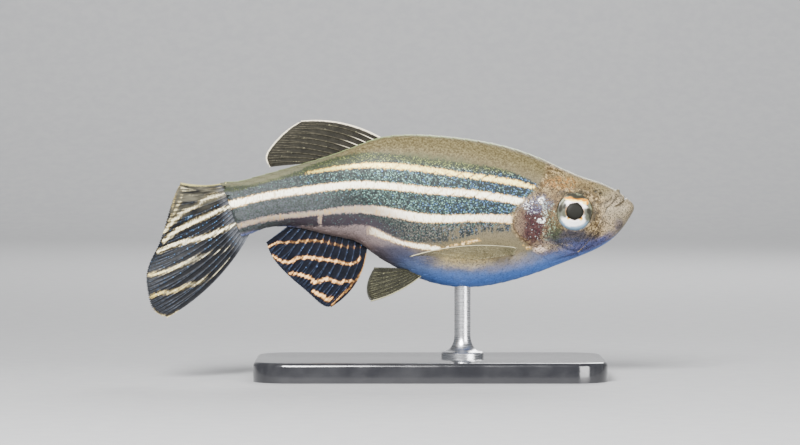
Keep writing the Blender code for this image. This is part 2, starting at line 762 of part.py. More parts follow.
def build_rod():
    """Make the stand's rod, turned with a round foot, from the base up to the belly."""
    sides = 20
    low = BASE_HEIGHT + GAP
    high = belly_line(from_snout(ROD_X)) - GAP
    profile = [
        (FOOT_RADIUS, low), (FOOT_RADIUS, low + FOOT_HEIGHT), (1.3 * ROD_RADIUS, low + 1.4 * FOOT_HEIGHT),
        (ROD_RADIUS, low + 2.4 * FOOT_HEIGHT), (ROD_RADIUS, high),
    ]
    centre_y = middle_y(ROD_X, high)
    points, faces = [], []
    for radius, z in profile:
        for i in range(sides):
            turn = 2 * math.pi * i / sides
            points.append((ROD_X + radius * math.cos(turn), centre_y + radius * math.sin(turn), z))
    for level in range(len(profile) - 1):
        for i in range(sides):
            j = (i + 1) % sides
            a, b = level * sides, (level + 1) * sides
            faces.append((a + i, a + j, b + j, b + i))
    faces.append(tuple(reversed(range(sides))))
    faces.append(tuple(range((len(profile) - 1) * sides, len(profile) * sides)))
    return add_object("stand_rod", points, faces, "stand_steel")


def main():
    """Build the fish and its stand."""
    clear_scene()
    build_head()
    build_jaw()
    build_trunk()
    build_tail()
    for name, side in (("right", -1), ("left", 1)):
        build_gill_cover(f"gill_cover_{name}", side)
        eye_cutter(f"eye_{name}", side, 0.0, "eye_silver")
        build_barbel(f"snout_barbel_{name}", SNOUT_BARBEL, side)
        build_barbel(f"mouth_barbel_{name}", MOUTH_BARBEL, side)
        build_pectoral_fin(f"pectoral_fin_{name}", side)
        build_pelvic_fin(f"pelvic_fin_{name}", side)
    build_dorsal_fin()
    build_anal_fin()
    build_tail_fin()
    build_base()
    build_rod()


main()
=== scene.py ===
"""Looks of a zebra danio model on its display stand: skin, scales, fins, eyes and stand.

Lengths in this script are millimetres unless a name says otherwise, and each mesh is
written in metres as it is made. +X runs to the snout, -Y is the fish's right flank and
+Z is up, as in the frame.
"""

import logging
import math
from collections.abc import Callable, Iterator
from dataclasses import dataclass
from enum import Enum
from functools import partial

import bmesh
import bpy
import numpy as np
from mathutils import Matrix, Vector


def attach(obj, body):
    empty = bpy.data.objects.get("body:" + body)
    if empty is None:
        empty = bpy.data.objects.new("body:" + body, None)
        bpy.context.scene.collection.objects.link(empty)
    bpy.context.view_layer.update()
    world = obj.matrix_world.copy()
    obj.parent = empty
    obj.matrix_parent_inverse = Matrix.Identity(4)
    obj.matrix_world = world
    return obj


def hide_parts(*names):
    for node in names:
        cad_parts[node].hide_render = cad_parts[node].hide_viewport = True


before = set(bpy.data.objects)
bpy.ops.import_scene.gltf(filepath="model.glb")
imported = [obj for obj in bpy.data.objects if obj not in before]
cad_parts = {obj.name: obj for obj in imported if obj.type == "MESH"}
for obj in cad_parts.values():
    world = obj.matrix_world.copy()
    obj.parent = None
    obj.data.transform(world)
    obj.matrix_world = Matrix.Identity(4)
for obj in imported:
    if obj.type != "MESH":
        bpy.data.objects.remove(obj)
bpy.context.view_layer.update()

MM = 0.001
ROOT = "root"
BAKE_MAP = "OFBake"
LOG = logging.getLogger("zebra_danio")

Pair = tuple[float, float]
Points = tuple[Pair, ...]
Colour = tuple[float, float, float]
Face = tuple[int, ...]
Numbers = np.ndarray
Places = tuple[Numbers, Numbers]


class Side(Enum):
    """The two flanks of the fish, with the sign of their Y."""

    RIGHT = -1
    LEFT = 1

    @property
    def word(self) -> str:
        """Return the side's name in lower case."""
        return self.name.lower()


class Slot(Enum):
    """The record's material slots."""

    BODY = "body_skin"
    FINS = "fins"
    EYES = "eyes"
    BASE = "stand_base"
    ROD = "stand_rod"


class Curve:
    """A natural cubic spline through (place, value) points."""

    def __init__(self, points: Points) -> None:
        """Solve the spline.

        Args:
            points: the places and values that it passes through.
        """
        ordered = sorted(points)
        self.places = np.array([point[0] for point in ordered])
        self.values = np.array([point[1] for point in ordered])
        self.steps = np.diff(self.places)
        count = len(self.places)
        system = np.eye(count)
        right = np.zeros(count)
        for i in range(1, count - 1):
            before, after = self.steps[i - 1], self.steps[i]
            system[i, i - 1:i + 2] = before, 2 * (before + after), after
            rise = (self.values[i + 1] - self.values[i]) / after
            right[i] = 6 * (rise - (self.values[i] - self.values[i - 1]) / before)
        self.bends = np.linalg.solve(system, right)

    def __call__(self, place: Numbers) -> Numbers:
        """Return the spline's value at each place.

        Args:
            place: one place or an array of them.

        Returns:
            The values, in the same shape.
        """
        i = np.clip(np.searchsorted(self.places, place) - 1, 0, len(self.places) - 2)
        step = self.steps[i]
        after = (place - self.places[i]) / step
        before = 1.0 - after
        curve = (before ** 3 - before) * self.bends[i] + (after ** 3 - after) * self.bends[i + 1]
        return before * self.values[i] + after * self.values[i + 1] + curve * step ** 2 / 6


def smooth_path(points: Points, count: int) -> Numbers:
    """Spread points evenly along a smooth path.

    Args:
        points: the points that the path passes through, all of one dimension.
        count: how many points to return.

    Returns:
        An array of count points.
    """
    lengths = [0.0]
    for a, b in zip(points, points[1:]):
        lengths.append(lengths[-1] + math.dist(a, b))
    places = np.linspace(0.0, lengths[-1], count)
    axes = [Curve([(s, p[axis]) for s, p in zip(lengths, points)]) for axis in range(len(points[0]))]
    return np.column_stack([axis(places) for axis in axes])


def ease(low: float, high: float, value: Numbers) -> Numbers:
    """Return the smooth step of value from 0 at low to 1 at high."""
    share = np.clip((value - low) / (high - low), 0.0, 1.0)
    return share * share * (3 - 2 * share)


def unit(vectors: Numbers) -> Numbers:
    """Return vectors at a length of one."""
    return vectors / np.maximum(np.linalg.norm(vectors, axis=-1, keepdims=True), 1e-12)


def line_distance(x: Numbers, z: Numbers, line: Numbers) -> Places:
    """Measure points of the side view against a line.

    Args:
        x, z: the points in the side view.
        line: the line's points.

    Returns:
        Each point's distance, positive to the left of the line's direction, and the share of
        the line at which it is nearest.
    """
    best = np.full(x.shape, np.inf)
    sign = np.ones(x.shape)
    place = np.zeros(x.shape)
    count = len(line) - 1
    for i in range(count):
        ax, az = line[i]
        dx, dz = line[i + 1] - line[i]
        share = np.clip(((x - ax) * dx + (z - az) * dz) / (dx * dx + dz * dz), 0.0, 1.0)
        px, pz = x - ax - share * dx, z - az - share * dz
        gap = np.hypot(px, pz)
        nearer = gap < best
        best = np.where(nearer, gap, best)
        sign = np.where(nearer, np.sign(dx * pz - dz * px), sign)
        place = np.where(nearer, (i + share) / count, place)
    return best * np.where(sign == 0, 1, sign), place


@dataclass(frozen=True)
class BodyForm:
    """The body's outlines and sections, the same as in the solids."""

    snout_x: float = 16.32
    snout_z: float = 13.6
    tail_end_x: float = -15.25
    tail_end_lean: float = -0.45
    lean_start_x: float = -7.0
    roll: float = math.tan(math.radians(4.0))
    bend_start_x: float = 2.0
    bend_length: float = 18.0
    bend_offset: float = 4.4
    upper_fullness: float = 1.9
    lower_fullness: float = 2.3
    back: Points = (
        (16.0, 14.17), (15.6, 14.46), (15.2, 14.8), (14.4, 15.26), (13.6, 15.62), (12.4, 16.0),
        (10.0, 17.02), (7.2, 18.16), (4.0, 18.94), (0.8, 19.34), (-2.4, 19.42), (-4.0, 19.2),
        (-5.6, 18.66), (-8.8, 17.52), (-11.14, 16.86), (-12.55, 16.46), (-13.34, 16.25),
        (-14.12, 16.03), (-15.05, 15.8), (-15.98, 15.74), (-16.8, 15.7),
    )
    belly: Points = (
        (16.0, 12.86), (15.0, 11.5), (13.6, 10.46), (11.2, 9.42), (8.8, 8.52), (5.6, 7.58),
        (3.0, 7.26), (0.8, 7.48), (-0.8, 7.96), (-2.4, 8.72), (-3.8, 9.48), (-4.8, 10.2),
        (-5.7, 10.86), (-7.0, 11.26), (-8.8, 11.68), (-10.4, 12.06), (-12.0, 12.2),
        (-13.0, 12.1), (-13.8, 11.82), (-14.6, 11.5), (-15.4, 11.26), (-16.8, 11.0),
    )
    half_width: Points = (
        (16.0, 0.72), (15.2, 1.14), (13.6, 1.56), (12.4, 1.76), (11.2, 1.98), (9.2, 2.42),
        (7.6, 2.68), (5.6, 2.86), (2.8, 2.98), (0.0, 2.92), (-2.4, 2.66), (-4.8, 2.2),
        (-7.0, 1.8), (-10.4, 1.36), (-13.44, 1.0), (-15.2, 0.8), (-16.8, 0.7),
    )
    widest_share: Points = (
        (12.0, 0.5), (8.0, 0.46), (3.0, 0.42), (-3.0, 0.44), (-8.0, 0.5), (-16.8, 0.5),
    )

    def __post_init__(self) -> None:
        """Make the splines of the outlines over the root of the distance behind the snout."""
        for name, points, nose in (
            ("back_curve", self.back, self.snout_z),
            ("belly_curve", self.belly, self.snout_z),
            ("width_curve", self.half_width, 0.0),
            ("share_curve", self.widest_share, 0.5),
        ):
            knots = [(0.0, nose)] + [(math.sqrt(self.snout_x - x), value) for x, value in points]
            object.__setattr__(self, name, Curve(knots))

    def behind(self, x: Numbers) -> Numbers:
        """Return the root of the distance behind the snout."""
        return np.sqrt(np.maximum(self.snout_x - x, 0.0))

    def back_z(self, x: Numbers) -> Numbers:
        """Return the height of the back at x."""
        return self.back_curve(self.behind(x))

    def belly_z(self, x: Numbers) -> Numbers:
        """Return the height of the belly at x."""
        return self.belly_curve(self.behind(x))

    def section(self, x: Numbers) -> tuple[Numbers, Numbers, Numbers, Numbers]:
        """Measure sections of the body.

        Args:
            x: their places.

        Returns:
            The height at which each is widest, its half depths above and below that, and its
            half width.
        """
        top, bottom = self.back_z(x), self.belly_z(x)
        widest = bottom + self.share_curve(self.behind(x)) * (top - bottom)
        return widest, top - widest, widest - bottom, self.width_curve(self.behind(x))

    def spine_y(self, x: Numbers) -> Numbers:
        """Return how far the bend of the rear body carries its middle to the side at x."""
        return -self.bend_offset * (np.maximum(self.bend_start_x - x, 0.0) / self.bend_length) ** 2

    def spine_turn(self, x: Numbers) -> Numbers:
        """Return the stretch that the bend gives to a width measured along Y."""
        slope = 2 * self.bend_offset * np.maximum(self.bend_start_x - x, 0.0) / self.bend_length ** 2
        return np.sqrt(1 + slope ** 2)

    def middle_y(self, x: Numbers, z: Numbers) -> Numbers:
        """Return the Y of the fish's own middle plane."""
        return self.spine_y(x) - self.roll * (z - self.section(x)[0])

    def flank_y(self, x: Numbers, z: Numbers, side: Numbers) -> Numbers:
        """Find the skin of a flank.

        Args:
            x, z: the places in the side view.
            side: -1 for the right flank and 1 for the left.

        Returns:
            Their Y.
        """
        widest, above, below, half = self.section(x)
        upper = z > widest
        reach = np.maximum(np.where(upper, above, below), 1e-6)
        power = np.where(upper, self.upper_fullness, self.lower_fullness)
        share = np.clip(np.abs(z - widest) / reach, 0.0, 1.0)
        out = half * self.spine_turn(x) * np.sqrt(1 - share ** power)
        return self.middle_y(x, z) + side * out

    def lean(self, x: Numbers) -> Numbers:
        """Return how much the sections of the rear body lean, to end square to the tail fin."""
        share = (self.lean_start_x - x) / (self.lean_start_x - self.tail_end_x)
        return self.tail_end_lean * np.clip(share, 0.0, 1.0) ** 2

    def surface(self, x: Numbers, angle: Numbers) -> Numbers:
        """Find points of the smooth skin.

        Args:
            x: the place of each point's section.
            angle: from 0 on the back, round the left flank to pi on the belly and on to 2 pi.

        Returns:
            An array of points with a last axis of three.
        """
        _, above, below, _ = self.section(x)
        height = np.cos(angle)
        px = x + self.lean(x) * np.where(height > 0, above, below) * height
        p_widest, p_above, p_below, _ = self.section(px)
        z = p_widest + np.where(height > 0, p_above, p_below) * height
        side = np.where(np.sin(angle) >= 0, 1.0, -1.0)
        return np.stack([px, self.flank_y(px, z, side), z], axis=-1)

    def normals(self, x: Numbers, angle: Numbers) -> Numbers:
        """Find the outward normals of the smooth skin.

        Args:
            x: the place of each point's section.
            angle: the angle round the body, as in surface().

        Returns:
            An array of normals with a last axis of three.
        """
        step = 0.01
        along = self.surface(x + step, angle) - self.surface(x - step, angle)
        turn = self.surface(x, angle + step) - self.surface(x, angle - step)
        return unit(np.cross(along, turn))


BODY = BodyForm()


@dataclass(frozen=True)
class Groove:
    """A groove of the head: its line, half width and depth, and the half width and strength of the painted
    shade along its bottom.
    """

    line: Points
    half: float
    depth: float
    dark_half: float = 0.1
    dark: float = 0.0


@dataclass(frozen=True)
class HeadLines:
    """The lines and pits of the head in the side view; a pit has its X, height and radius."""

    head_edge: Points = (
        (9.95, 18.7), (9.35, 16.8), (8.6, 15.25), (7.6, 14.3), (6.8, 13.48), (6.5, 12.7),
        (6.62, 12.0), (7.1, 11.3), (7.8, 10.7), (8.65, 10.0), (9.4, 9.2), (9.95, 7.5),
    )
    mouth: Points = (
        (15.66, 14.6), (15.57, 14.32), (15.4, 14.08), (15.16, 13.9), (14.94, 13.79), (14.62, 13.66),
    )
    cheek: Groove = Groove((
        (8.5, 14.3), (9.15, 13.7), (9.5, 12.6), (9.7, 11.5), (10.2, 10.7), (11.2, 10.2), (12.4, 10.3),
    ), 0.09, 0.06, 0.1, 0.4)
    throat: Groove = Groove(((9.3, 9.3), (10.4, 9.55), (11.8, 9.98), (13.2, 10.7)), 0.08, 0.08, 0.09, 0.35)
    jaw_rear: Groove = Groove((
        (14.05, 13.2), (13.95, 12.6), (13.7, 11.8), (13.2, 10.9), (12.5, 10.35),
    ), 0.08, 0.05, 0.09, 0.2)
    brow: Groove = Groove(((9.7, 14.6), (10.6, 15.15), (11.8, 15.25), (13.0, 14.75)), 0.2, -0.05)
    maxilla: Groove = Groove((
        (15.5, 14.3), (15.36, 14.4), (15.18, 14.54), (15.02, 14.54), (14.82, 14.37), (14.6, 14.09),
        (14.37, 13.84), (14.14, 13.62), (13.98, 13.28), (13.9, 12.95),
    ), 0.05, 0.13, 0.06, 0.8)
    nostrils: tuple[tuple[float, float, float], ...] = ((13.62, 14.78, 0.15), (13.2, 14.92, 0.2))
    snout_knob: tuple[float, float, float] = (15.03, 14.96, 0.14)

    @property
    def grooves(self) -> tuple[Groove, ...]:
        """Return the grooves that fade out at both ends."""
        return self.cheek, self.throat, self.jaw_rear, self.brow, self.maxilla


HEAD = HeadLines()


@dataclass(frozen=True)
class EyeForm:
    """The size and place of an eye."""

    x: float = 11.5
    z: float = 13.3
    radius: float = 1.62
    centre: float = 1.3
    bulge: float = 1.12
    depth: float = 0.72
    turn: Pair = (-0.2, -0.06)
    rim: float = 1.42
    iris: float = 1.36
    pupil: float = 0.71
    pupil_rise: float = 0.07


EYE = EyeForm()


def head_side(x: Numbers, z: Numbers) -> Numbers:
    """Return the distance in front of the head's rear edge, negative on the trunk."""
    return line_distance(x, z, smooth_path(HEAD.head_edge, 60))[0]


def bell(gap: Numbers, width: float) -> Numbers:
    """Return 1 where a gap is nothing, falling smoothly to 0 beyond a width."""
    return np.exp(-(gap / width) ** 2)


def groove(x: Numbers, z: Numbers, line: Points, half: float) -> Numbers:
    """Lay a round groove along a line, fading out at both ends.

    Args:
        x, z: the places in the side view.
        line: the groove's own points.
        half: half of its width.

    Returns:
        1 at the bottom of the groove and 0 away from it.
    """
    gap, place = line_distance(x, z, smooth_path(line, 50))
    return bell(gap, half) * (ease(0.0, 0.12, place) * ease(0.0, 0.15, 1 - place))


def skin_relief(x: Numbers, z: Numbers) -> Numbers:
    """Find how far gill openings, grooves, lips, knob, nostrils and eye sockets raise or sink the skin.

    Args:
        x, z: the places in the side view.

    Returns:
        The relief, negative where the skin is sunk.
    """
    edge = head_side(x, z)
    opening = ease(14.6, 13.9, z) * ease(8.7, 9.3, z) * (0.3 + 0.7 * ease(10.3, 11.6, z))
    cover = ease(-0.02, 0.07, edge) * np.exp(-np.maximum(edge, 0) / 1.1) * 0.15
    relief = opening * (cover - 0.16 * bell(edge + 0.07, 0.08))
    for line in HEAD.grooves:
        relief -= line.depth * groove(x, z, line.line, line.half)
    gap, place = line_distance(x, z, smooth_path(HEAD.mouth, 60))
    closed = ease(0.0, 0.25, 1 - place) * ease(0.0, 0.05, place)
    relief += closed * (0.035 * bell(np.abs(gap) - 0.16, 0.1) - 0.22 * bell(gap, 0.045))
    knob_x, knob_z, knob = HEAD.snout_knob
    relief += 0.2 * np.exp(-(np.hypot(x - knob_x, z - knob_z) / knob) ** 4)
    for pit_x, pit_z, radius in HEAD.nostrils:
        gap = np.hypot(x - pit_x, z - pit_z) / radius
        relief += 0.05 * bell(gap - 1.25, 0.3) - 0.2 * np.exp(-gap ** 4)
    gap = np.hypot(x - EYE.x, z - EYE.z)
    relief += 0.05 * bell(gap - EYE.rim - 0.12, 0.14)
    return relief - 1.1 * ease(EYE.rim + 0.02, EYE.rim - 0.16, gap)


def creases(x: Numbers, z: Numbers) -> Numbers:
    """Find the painted shade at the bottom of the grooves, the mouth cleft and the nostrils and round the eye
    sockets, with a dark spot on the snout knob.

    Args:
        x, z: the places in the side view.

    Returns:
        0 where it keeps its colour, up to 1 where it is black.
    """
    knob_x, knob_z, knob = HEAD.snout_knob
    # painted shade along the grooves, the mouth cleft, the nostrils and round the eye sockets, and the dark
    # spot of the knob
    dark = [line.dark * groove(x, z, line.line, line.dark_half) for line in HEAD.grooves]
    dark.append(0.8 * groove(x, z, HEAD.mouth, 0.045))
    dark.append(0.55 * np.exp(-(np.hypot(x - knob_x, z - knob_z - 0.05) / knob) ** 4))
    for pit_x, pit_z, radius in HEAD.nostrils:
        dark.append(0.85 * np.exp(-(np.hypot(x - pit_x, z - pit_z) / radius / 0.85) ** 4))
    dark.append(0.42 * bell(np.hypot(x - EYE.x, z - EYE.z) - EYE.rim - 0.02, 0.06))
    return np.max(dark, axis=0)


@dataclass(frozen=True)
class Stripe:
    """One pale stripe of the flank: its upper and lower edge and where it begins and ends."""

    upper: Points
    lower: Points
    first: float
    last: float

    def inside(self, x: Numbers, z: Numbers) -> Numbers:
        """Measure places against the stripe.

        Args:
            x, z: the places in the side view.

        Returns:
            How deep inside it each place lies, negative outside it.
        """
        top = Curve(self.upper)(x)
        bottom = Curve(self.lower)(x)
        across = (top - bottom) / 2 - np.abs(z - (top + bottom) / 2)
        ends = np.minimum(x - self.first, self.last - x) * 0.4
        return np.minimum(across, ends)


@dataclass(frozen=True)
class Markings:
    """The stripes that skin and scales share, by place in the side view."""

    stripes: tuple[Stripe, ...] = (
        Stripe(
            [(-10, 16.5), (-4.8, 17.25), (-0.8, 17.0), (4.0, 16.32), (7.2, 15.8), (9, 15.2)],
            [(-10, 16.3), (-4.8, 16.8), (-0.8, 16.5), (4.0, 15.84), (7.2, 15.3), (9, 14.9)],
            -9.8, 8.4,
        ),
        Stripe(
            [(-16.5, 14.15), (-15.2, 14.45), (-12.4, 15.03), (-9.6, 15.44), (-4.8, 15.82), (-0.8, 15.43),
             (4.0, 15.02), (7.2, 14.5), (9, 14.2)],
            [(-16.5, 13.35), (-15.2, 13.75), (-12.4, 14.4), (-9.6, 14.78), (-4.8, 15.18), (-0.8, 14.8),
             (4.0, 14.38), (7.2, 13.82), (9, 13.5)],
            -17.0, 7.7,
        ),
        Stripe(
            [(-16.5, 12.1), (-15.2, 12.48), (-12.4, 13.15), (-9.6, 13.42), (-4.8, 13.88), (-0.8, 13.26),
             (4.0, 13.19), (7.2, 13.1)],
            [(-16.5, 11.5), (-15.2, 12.02), (-12.4, 12.64), (-9.6, 12.98), (-4.8, 13.15), (-0.8, 12.5),
             (4.0, 12.54), (7.2, 12.3)],
            -17.0, 6.9,
        ),
        Stripe(
            [(-9.6, 12.15), (-6.8, 12.2), (-4.8, 12.18), (-2.4, 11.1), (-0.8, 10.83), (1.2, 10.65),
             (4.0, 11.4)],
            [(-9.6, 11.9), (-6.8, 11.7), (-4.8, 11.5), (-2.4, 10.7), (-0.8, 10.35), (1.2, 10.25),
             (4.0, 11.1)],
            -5.0, 1.0,
        ),
    )
    dark_top: Points = (
        (-17, 15.4), (-12.4, 15.9), (-9.6, 17.0), (-4.8, 18.05), (-0.8, 17.65), (4.0, 17.06), (7.2, 16.22),
        (9.2, 15.1),
    )
    dark_bottom: Points = (
        (-17, 11.2), (-12.4, 12.06), (-9.6, 12.18), (-7.2, 12.15), (-4.8, 12.18), (-2.8, 11.3),
        (-0.8, 10.86), (1.6, 11.05), (4.0, 11.55), (6.6, 11.85), (9.0, 12.2),
    )
    dots: tuple[tuple[float, float, float], ...] = (
        (1.35, 10.52, 0.16), (1.75, 10.62, 0.13), (2.15, 10.68, 0.15), (2.6, 10.82, 0.12), (3.0, 10.9, 0.14),
        (3.45, 11.04, 0.13), (3.8, 11.12, 0.14), (7.8, 10.5, 0.16), (7.45, 10.62, 0.1), (8.15, 10.32, 0.1),
    )
    bridge_x: float = -8.75
    bridge_half: float = 0.15
    bridge_z: Pair = (12.1, 13.1)

    def pale(self, x: Numbers, z: Numbers) -> Numbers:
        """Measure places against the pale stripes, their bridge and dots.

        Args:
            x, z: the places in the side view.

        Returns:
            How deep inside one of them each place lies, negative outside them.
        """
        deepest = np.max([stripe.inside(x, z) for stripe in self.stripes], axis=0)
        within = np.minimum(z - self.bridge_z[0], self.bridge_z[1] - z)
        deepest = np.maximum(deepest, np.minimum(self.bridge_half - np.abs(x - self.bridge_x), within))
        for dot_x, dot_z, size in self.dots:
            deepest = np.maximum(deepest, size - np.hypot((x - dot_x) * 0.7, z - dot_z))
        return deepest

    def dark(self, x: Numbers, z: Numbers) -> Numbers:
        """Measure places against the dark ground of the stripes.

        Args:
            x, z: the places in the side view.

        Returns:
            How deep inside it each place lies, negative outside it.
        """
        top = Curve(self.dark_top)(x)
        bottom = Curve(self.dark_bottom)(x)
        return np.minimum(np.minimum(top - z, z - bottom), -head_side(x, z) * 0.8)


MARKS = Markings()


def add_mesh(name: str, points: Numbers, faces: list[Face]) -> bpy.types.Object:
    """Make a smooth mesh object at the origin from points in millimetres.

    Args:
        name: the object's name.
        points: an array of points.
        faces: the points of each face.

    Returns:
        The new object.
    """
    mesh = bpy.data.meshes.new(name)
    mesh.from_pydata((np.asarray(points) * MM).tolist(), [], faces)
    mesh.shade_smooth()
    obj = bpy.data.objects.new(name, mesh)
    bpy.context.scene.collection.objects.link(obj)
    return obj


def point_array(mesh: bpy.types.Mesh) -> Numbers:
    """Read the points of a mesh.

    Args:
        mesh: the mesh.

    Returns:
        Rows of three, in the mesh's own unit.
    """
    places = np.empty(len(mesh.vertices) * 3)
    mesh.vertices.foreach_get("co", places)
    return places.reshape(-1, 3)


def set_attribute(obj: bpy.types.Object, name: str, values: Numbers) -> None:
    """Store one number for each point of a mesh.

    Args:
        obj: the mesh object.
        name: the name that its material reads.
        values: the numbers.
    """
    attribute = obj.data.attributes.new(name, "FLOAT", "POINT")
    attribute.data.foreach_set("value", np.ascontiguousarray(values, dtype=np.float32).ravel())


def set_uv(obj: bpy.types.Object, places: Numbers) -> None:
    """Store the UV map that the bake uses.

    Args:
        obj: the mesh object.
        places: the place of each of its points on the map.
    """
    layer = obj.data.uv_layers.new(name=BAKE_MAP)
    corners = np.empty(len(obj.data.loops), dtype=np.int32)
    obj.data.loops.foreach_get("vertex_index", corners)
    layer.data.foreach_set("uv", np.ascontiguousarray(places[corners], dtype=np.float32).ravel())


def pick_only(obj: bpy.types.Object) -> None:
    """Select one object alone and make it the active one.

    Args:
        obj: the object.
    """
    bpy.ops.object.select_all(action="DESELECT")
    obj.select_set(True)
    bpy.context.view_layer.objects.active = obj


def turn_outward() -> None:
    """Turn all faces of the mesh in edit mode outwards and go back to object mode."""
    bpy.ops.mesh.select_all(action="SELECT")
    bpy.ops.mesh.normals_make_consistent(inside=False)
    bpy.ops.object.mode_set(mode="OBJECT")


def grid_faces(rows: int, columns: int, start: int = 0, flip: bool = False) -> list[Face]:
    """Lay four sided faces over a grid of points.

    Args:
        rows: its rows.
        columns: the points of a row.
        start: the number of its first point.
        flip: whether the faces point the other way.

    Returns:
        The points of each face.
    """
    faces = []
    for r in range(rows - 1):
        for c in range(columns - 1):
            a = start + r * columns + c
            face = (a, a + 1, a + columns + 1, a + columns)
            faces.append(face[::-1] if flip else face)
    return faces


def sheet_faces(rows: int, columns: int, flip: bool) -> list[Face]:
    """Close a sheet whose front grid of points is followed by its back grid.

    Args:
        rows: the rows of each grid.
        columns: the points of a row.
        flip: whether the front is flipped.

    Returns:
        The points of each face of front, back and rim.
    """
    count = rows * columns
    rim = list(range(columns))
    rim += [r * columns + columns - 1 for r in range(1, rows)]
    rim += [(rows - 1) * columns + c for c in range(columns - 2, -1, -1)]
    rim += [r * columns for r in range(rows - 2, 0, -1)]
    edge = [(a, b, b + count, a + count) for a, b in zip(rim, rim[1:] + rim[:1])]
    faces = grid_faces(rows, columns, 0, flip) + grid_faces(rows, columns, count, not flip)
    return faces + [face if flip else face[::-1] for face in edge]


def mark_fish(obj: bpy.types.Object, points: Numbers, girth: Numbers) -> None:
    """Store the markings that skin and scales share.

    Args:
        obj: the skin or scales.
        points: the places that the markings are read at, in millimetres.
        girth: from 0 on the back to 1 on the belly.
    """
    x, z = points[:, 0], points[:, 2]
    set_attribute(obj, "pale", MARKS.pale(x, z))
    set_attribute(obj, "dark", MARKS.dark(x, z))
    set_attribute(obj, "head", head_side(x, z))
    set_attribute(obj, "girth", girth)


def put_in_place(obj: bpy.types.Object, finish: bpy.types.Material, slot: Slot, *nodes: str) -> None:
    """Finish a piece and let it ride on the frame.

    Args:
        obj: the piece.
        finish: its material.
        slot: not used.
        nodes: the nodes that it stands for.
    """
    obj.data.materials.clear()
    obj.data.materials.append(finish)
    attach(obj, ROOT)
    if nodes:
        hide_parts(*nodes)
    LOG.info("%s: %d faces", obj.name, len(obj.data.polygons))


class Ramp(Enum):
    """How a number is mapped from one range to another."""

    SMOOTH = "SMOOTHSTEP"
    STRAIGHT = "LINEAR"


class Field:
    """An output of a node tree that can be reckoned with: each sum or product makes a Math node."""

    def __init__(self, graph: "Graph", socket: bpy.types.NodeSocket) -> None:
        """Keep the graph and the socket."""
        self.graph = graph
        self.socket = socket

    def __add__(self, other: "Value") -> "Field":
        """Return the sum."""
        return self.graph.math("ADD", self, other)

    def __sub__(self, other: "Value") -> "Field":
        """Return the difference."""
        return self.graph.math("SUBTRACT", self, other)

    def __rsub__(self, other: "Value") -> "Field":
        """Return a number less the field."""
        return self.graph.math("SUBTRACT", other, self)

    def __mul__(self, other: "Value") -> "Field":
        """Return the product."""
        return self.graph.math("MULTIPLY", self, other)

    def __pow__(self, other: "Value") -> "Field":
        """Return the power."""
        return self.graph.math("POWER", self, other)

    def __or__(self, other: "Value") -> "Field":
        """Return the larger of the two."""
        return self.graph.math("MAXIMUM", self, other)

    def ramp(self, low: float, high: float, first: float = 0.0, last: float = 1.0,
             kind: Ramp = Ramp.SMOOTH) -> "Field":
        """Return the field mapped from low and high to first and last, held beyond them."""
        return self.graph.out("ShaderNodeMapRange", interpolation_type=kind.value, Value=self, From_Min=low,
                              From_Max=high, To_Min=first, To_Max=last)


Value = Field | float | tuple[float, float, float]


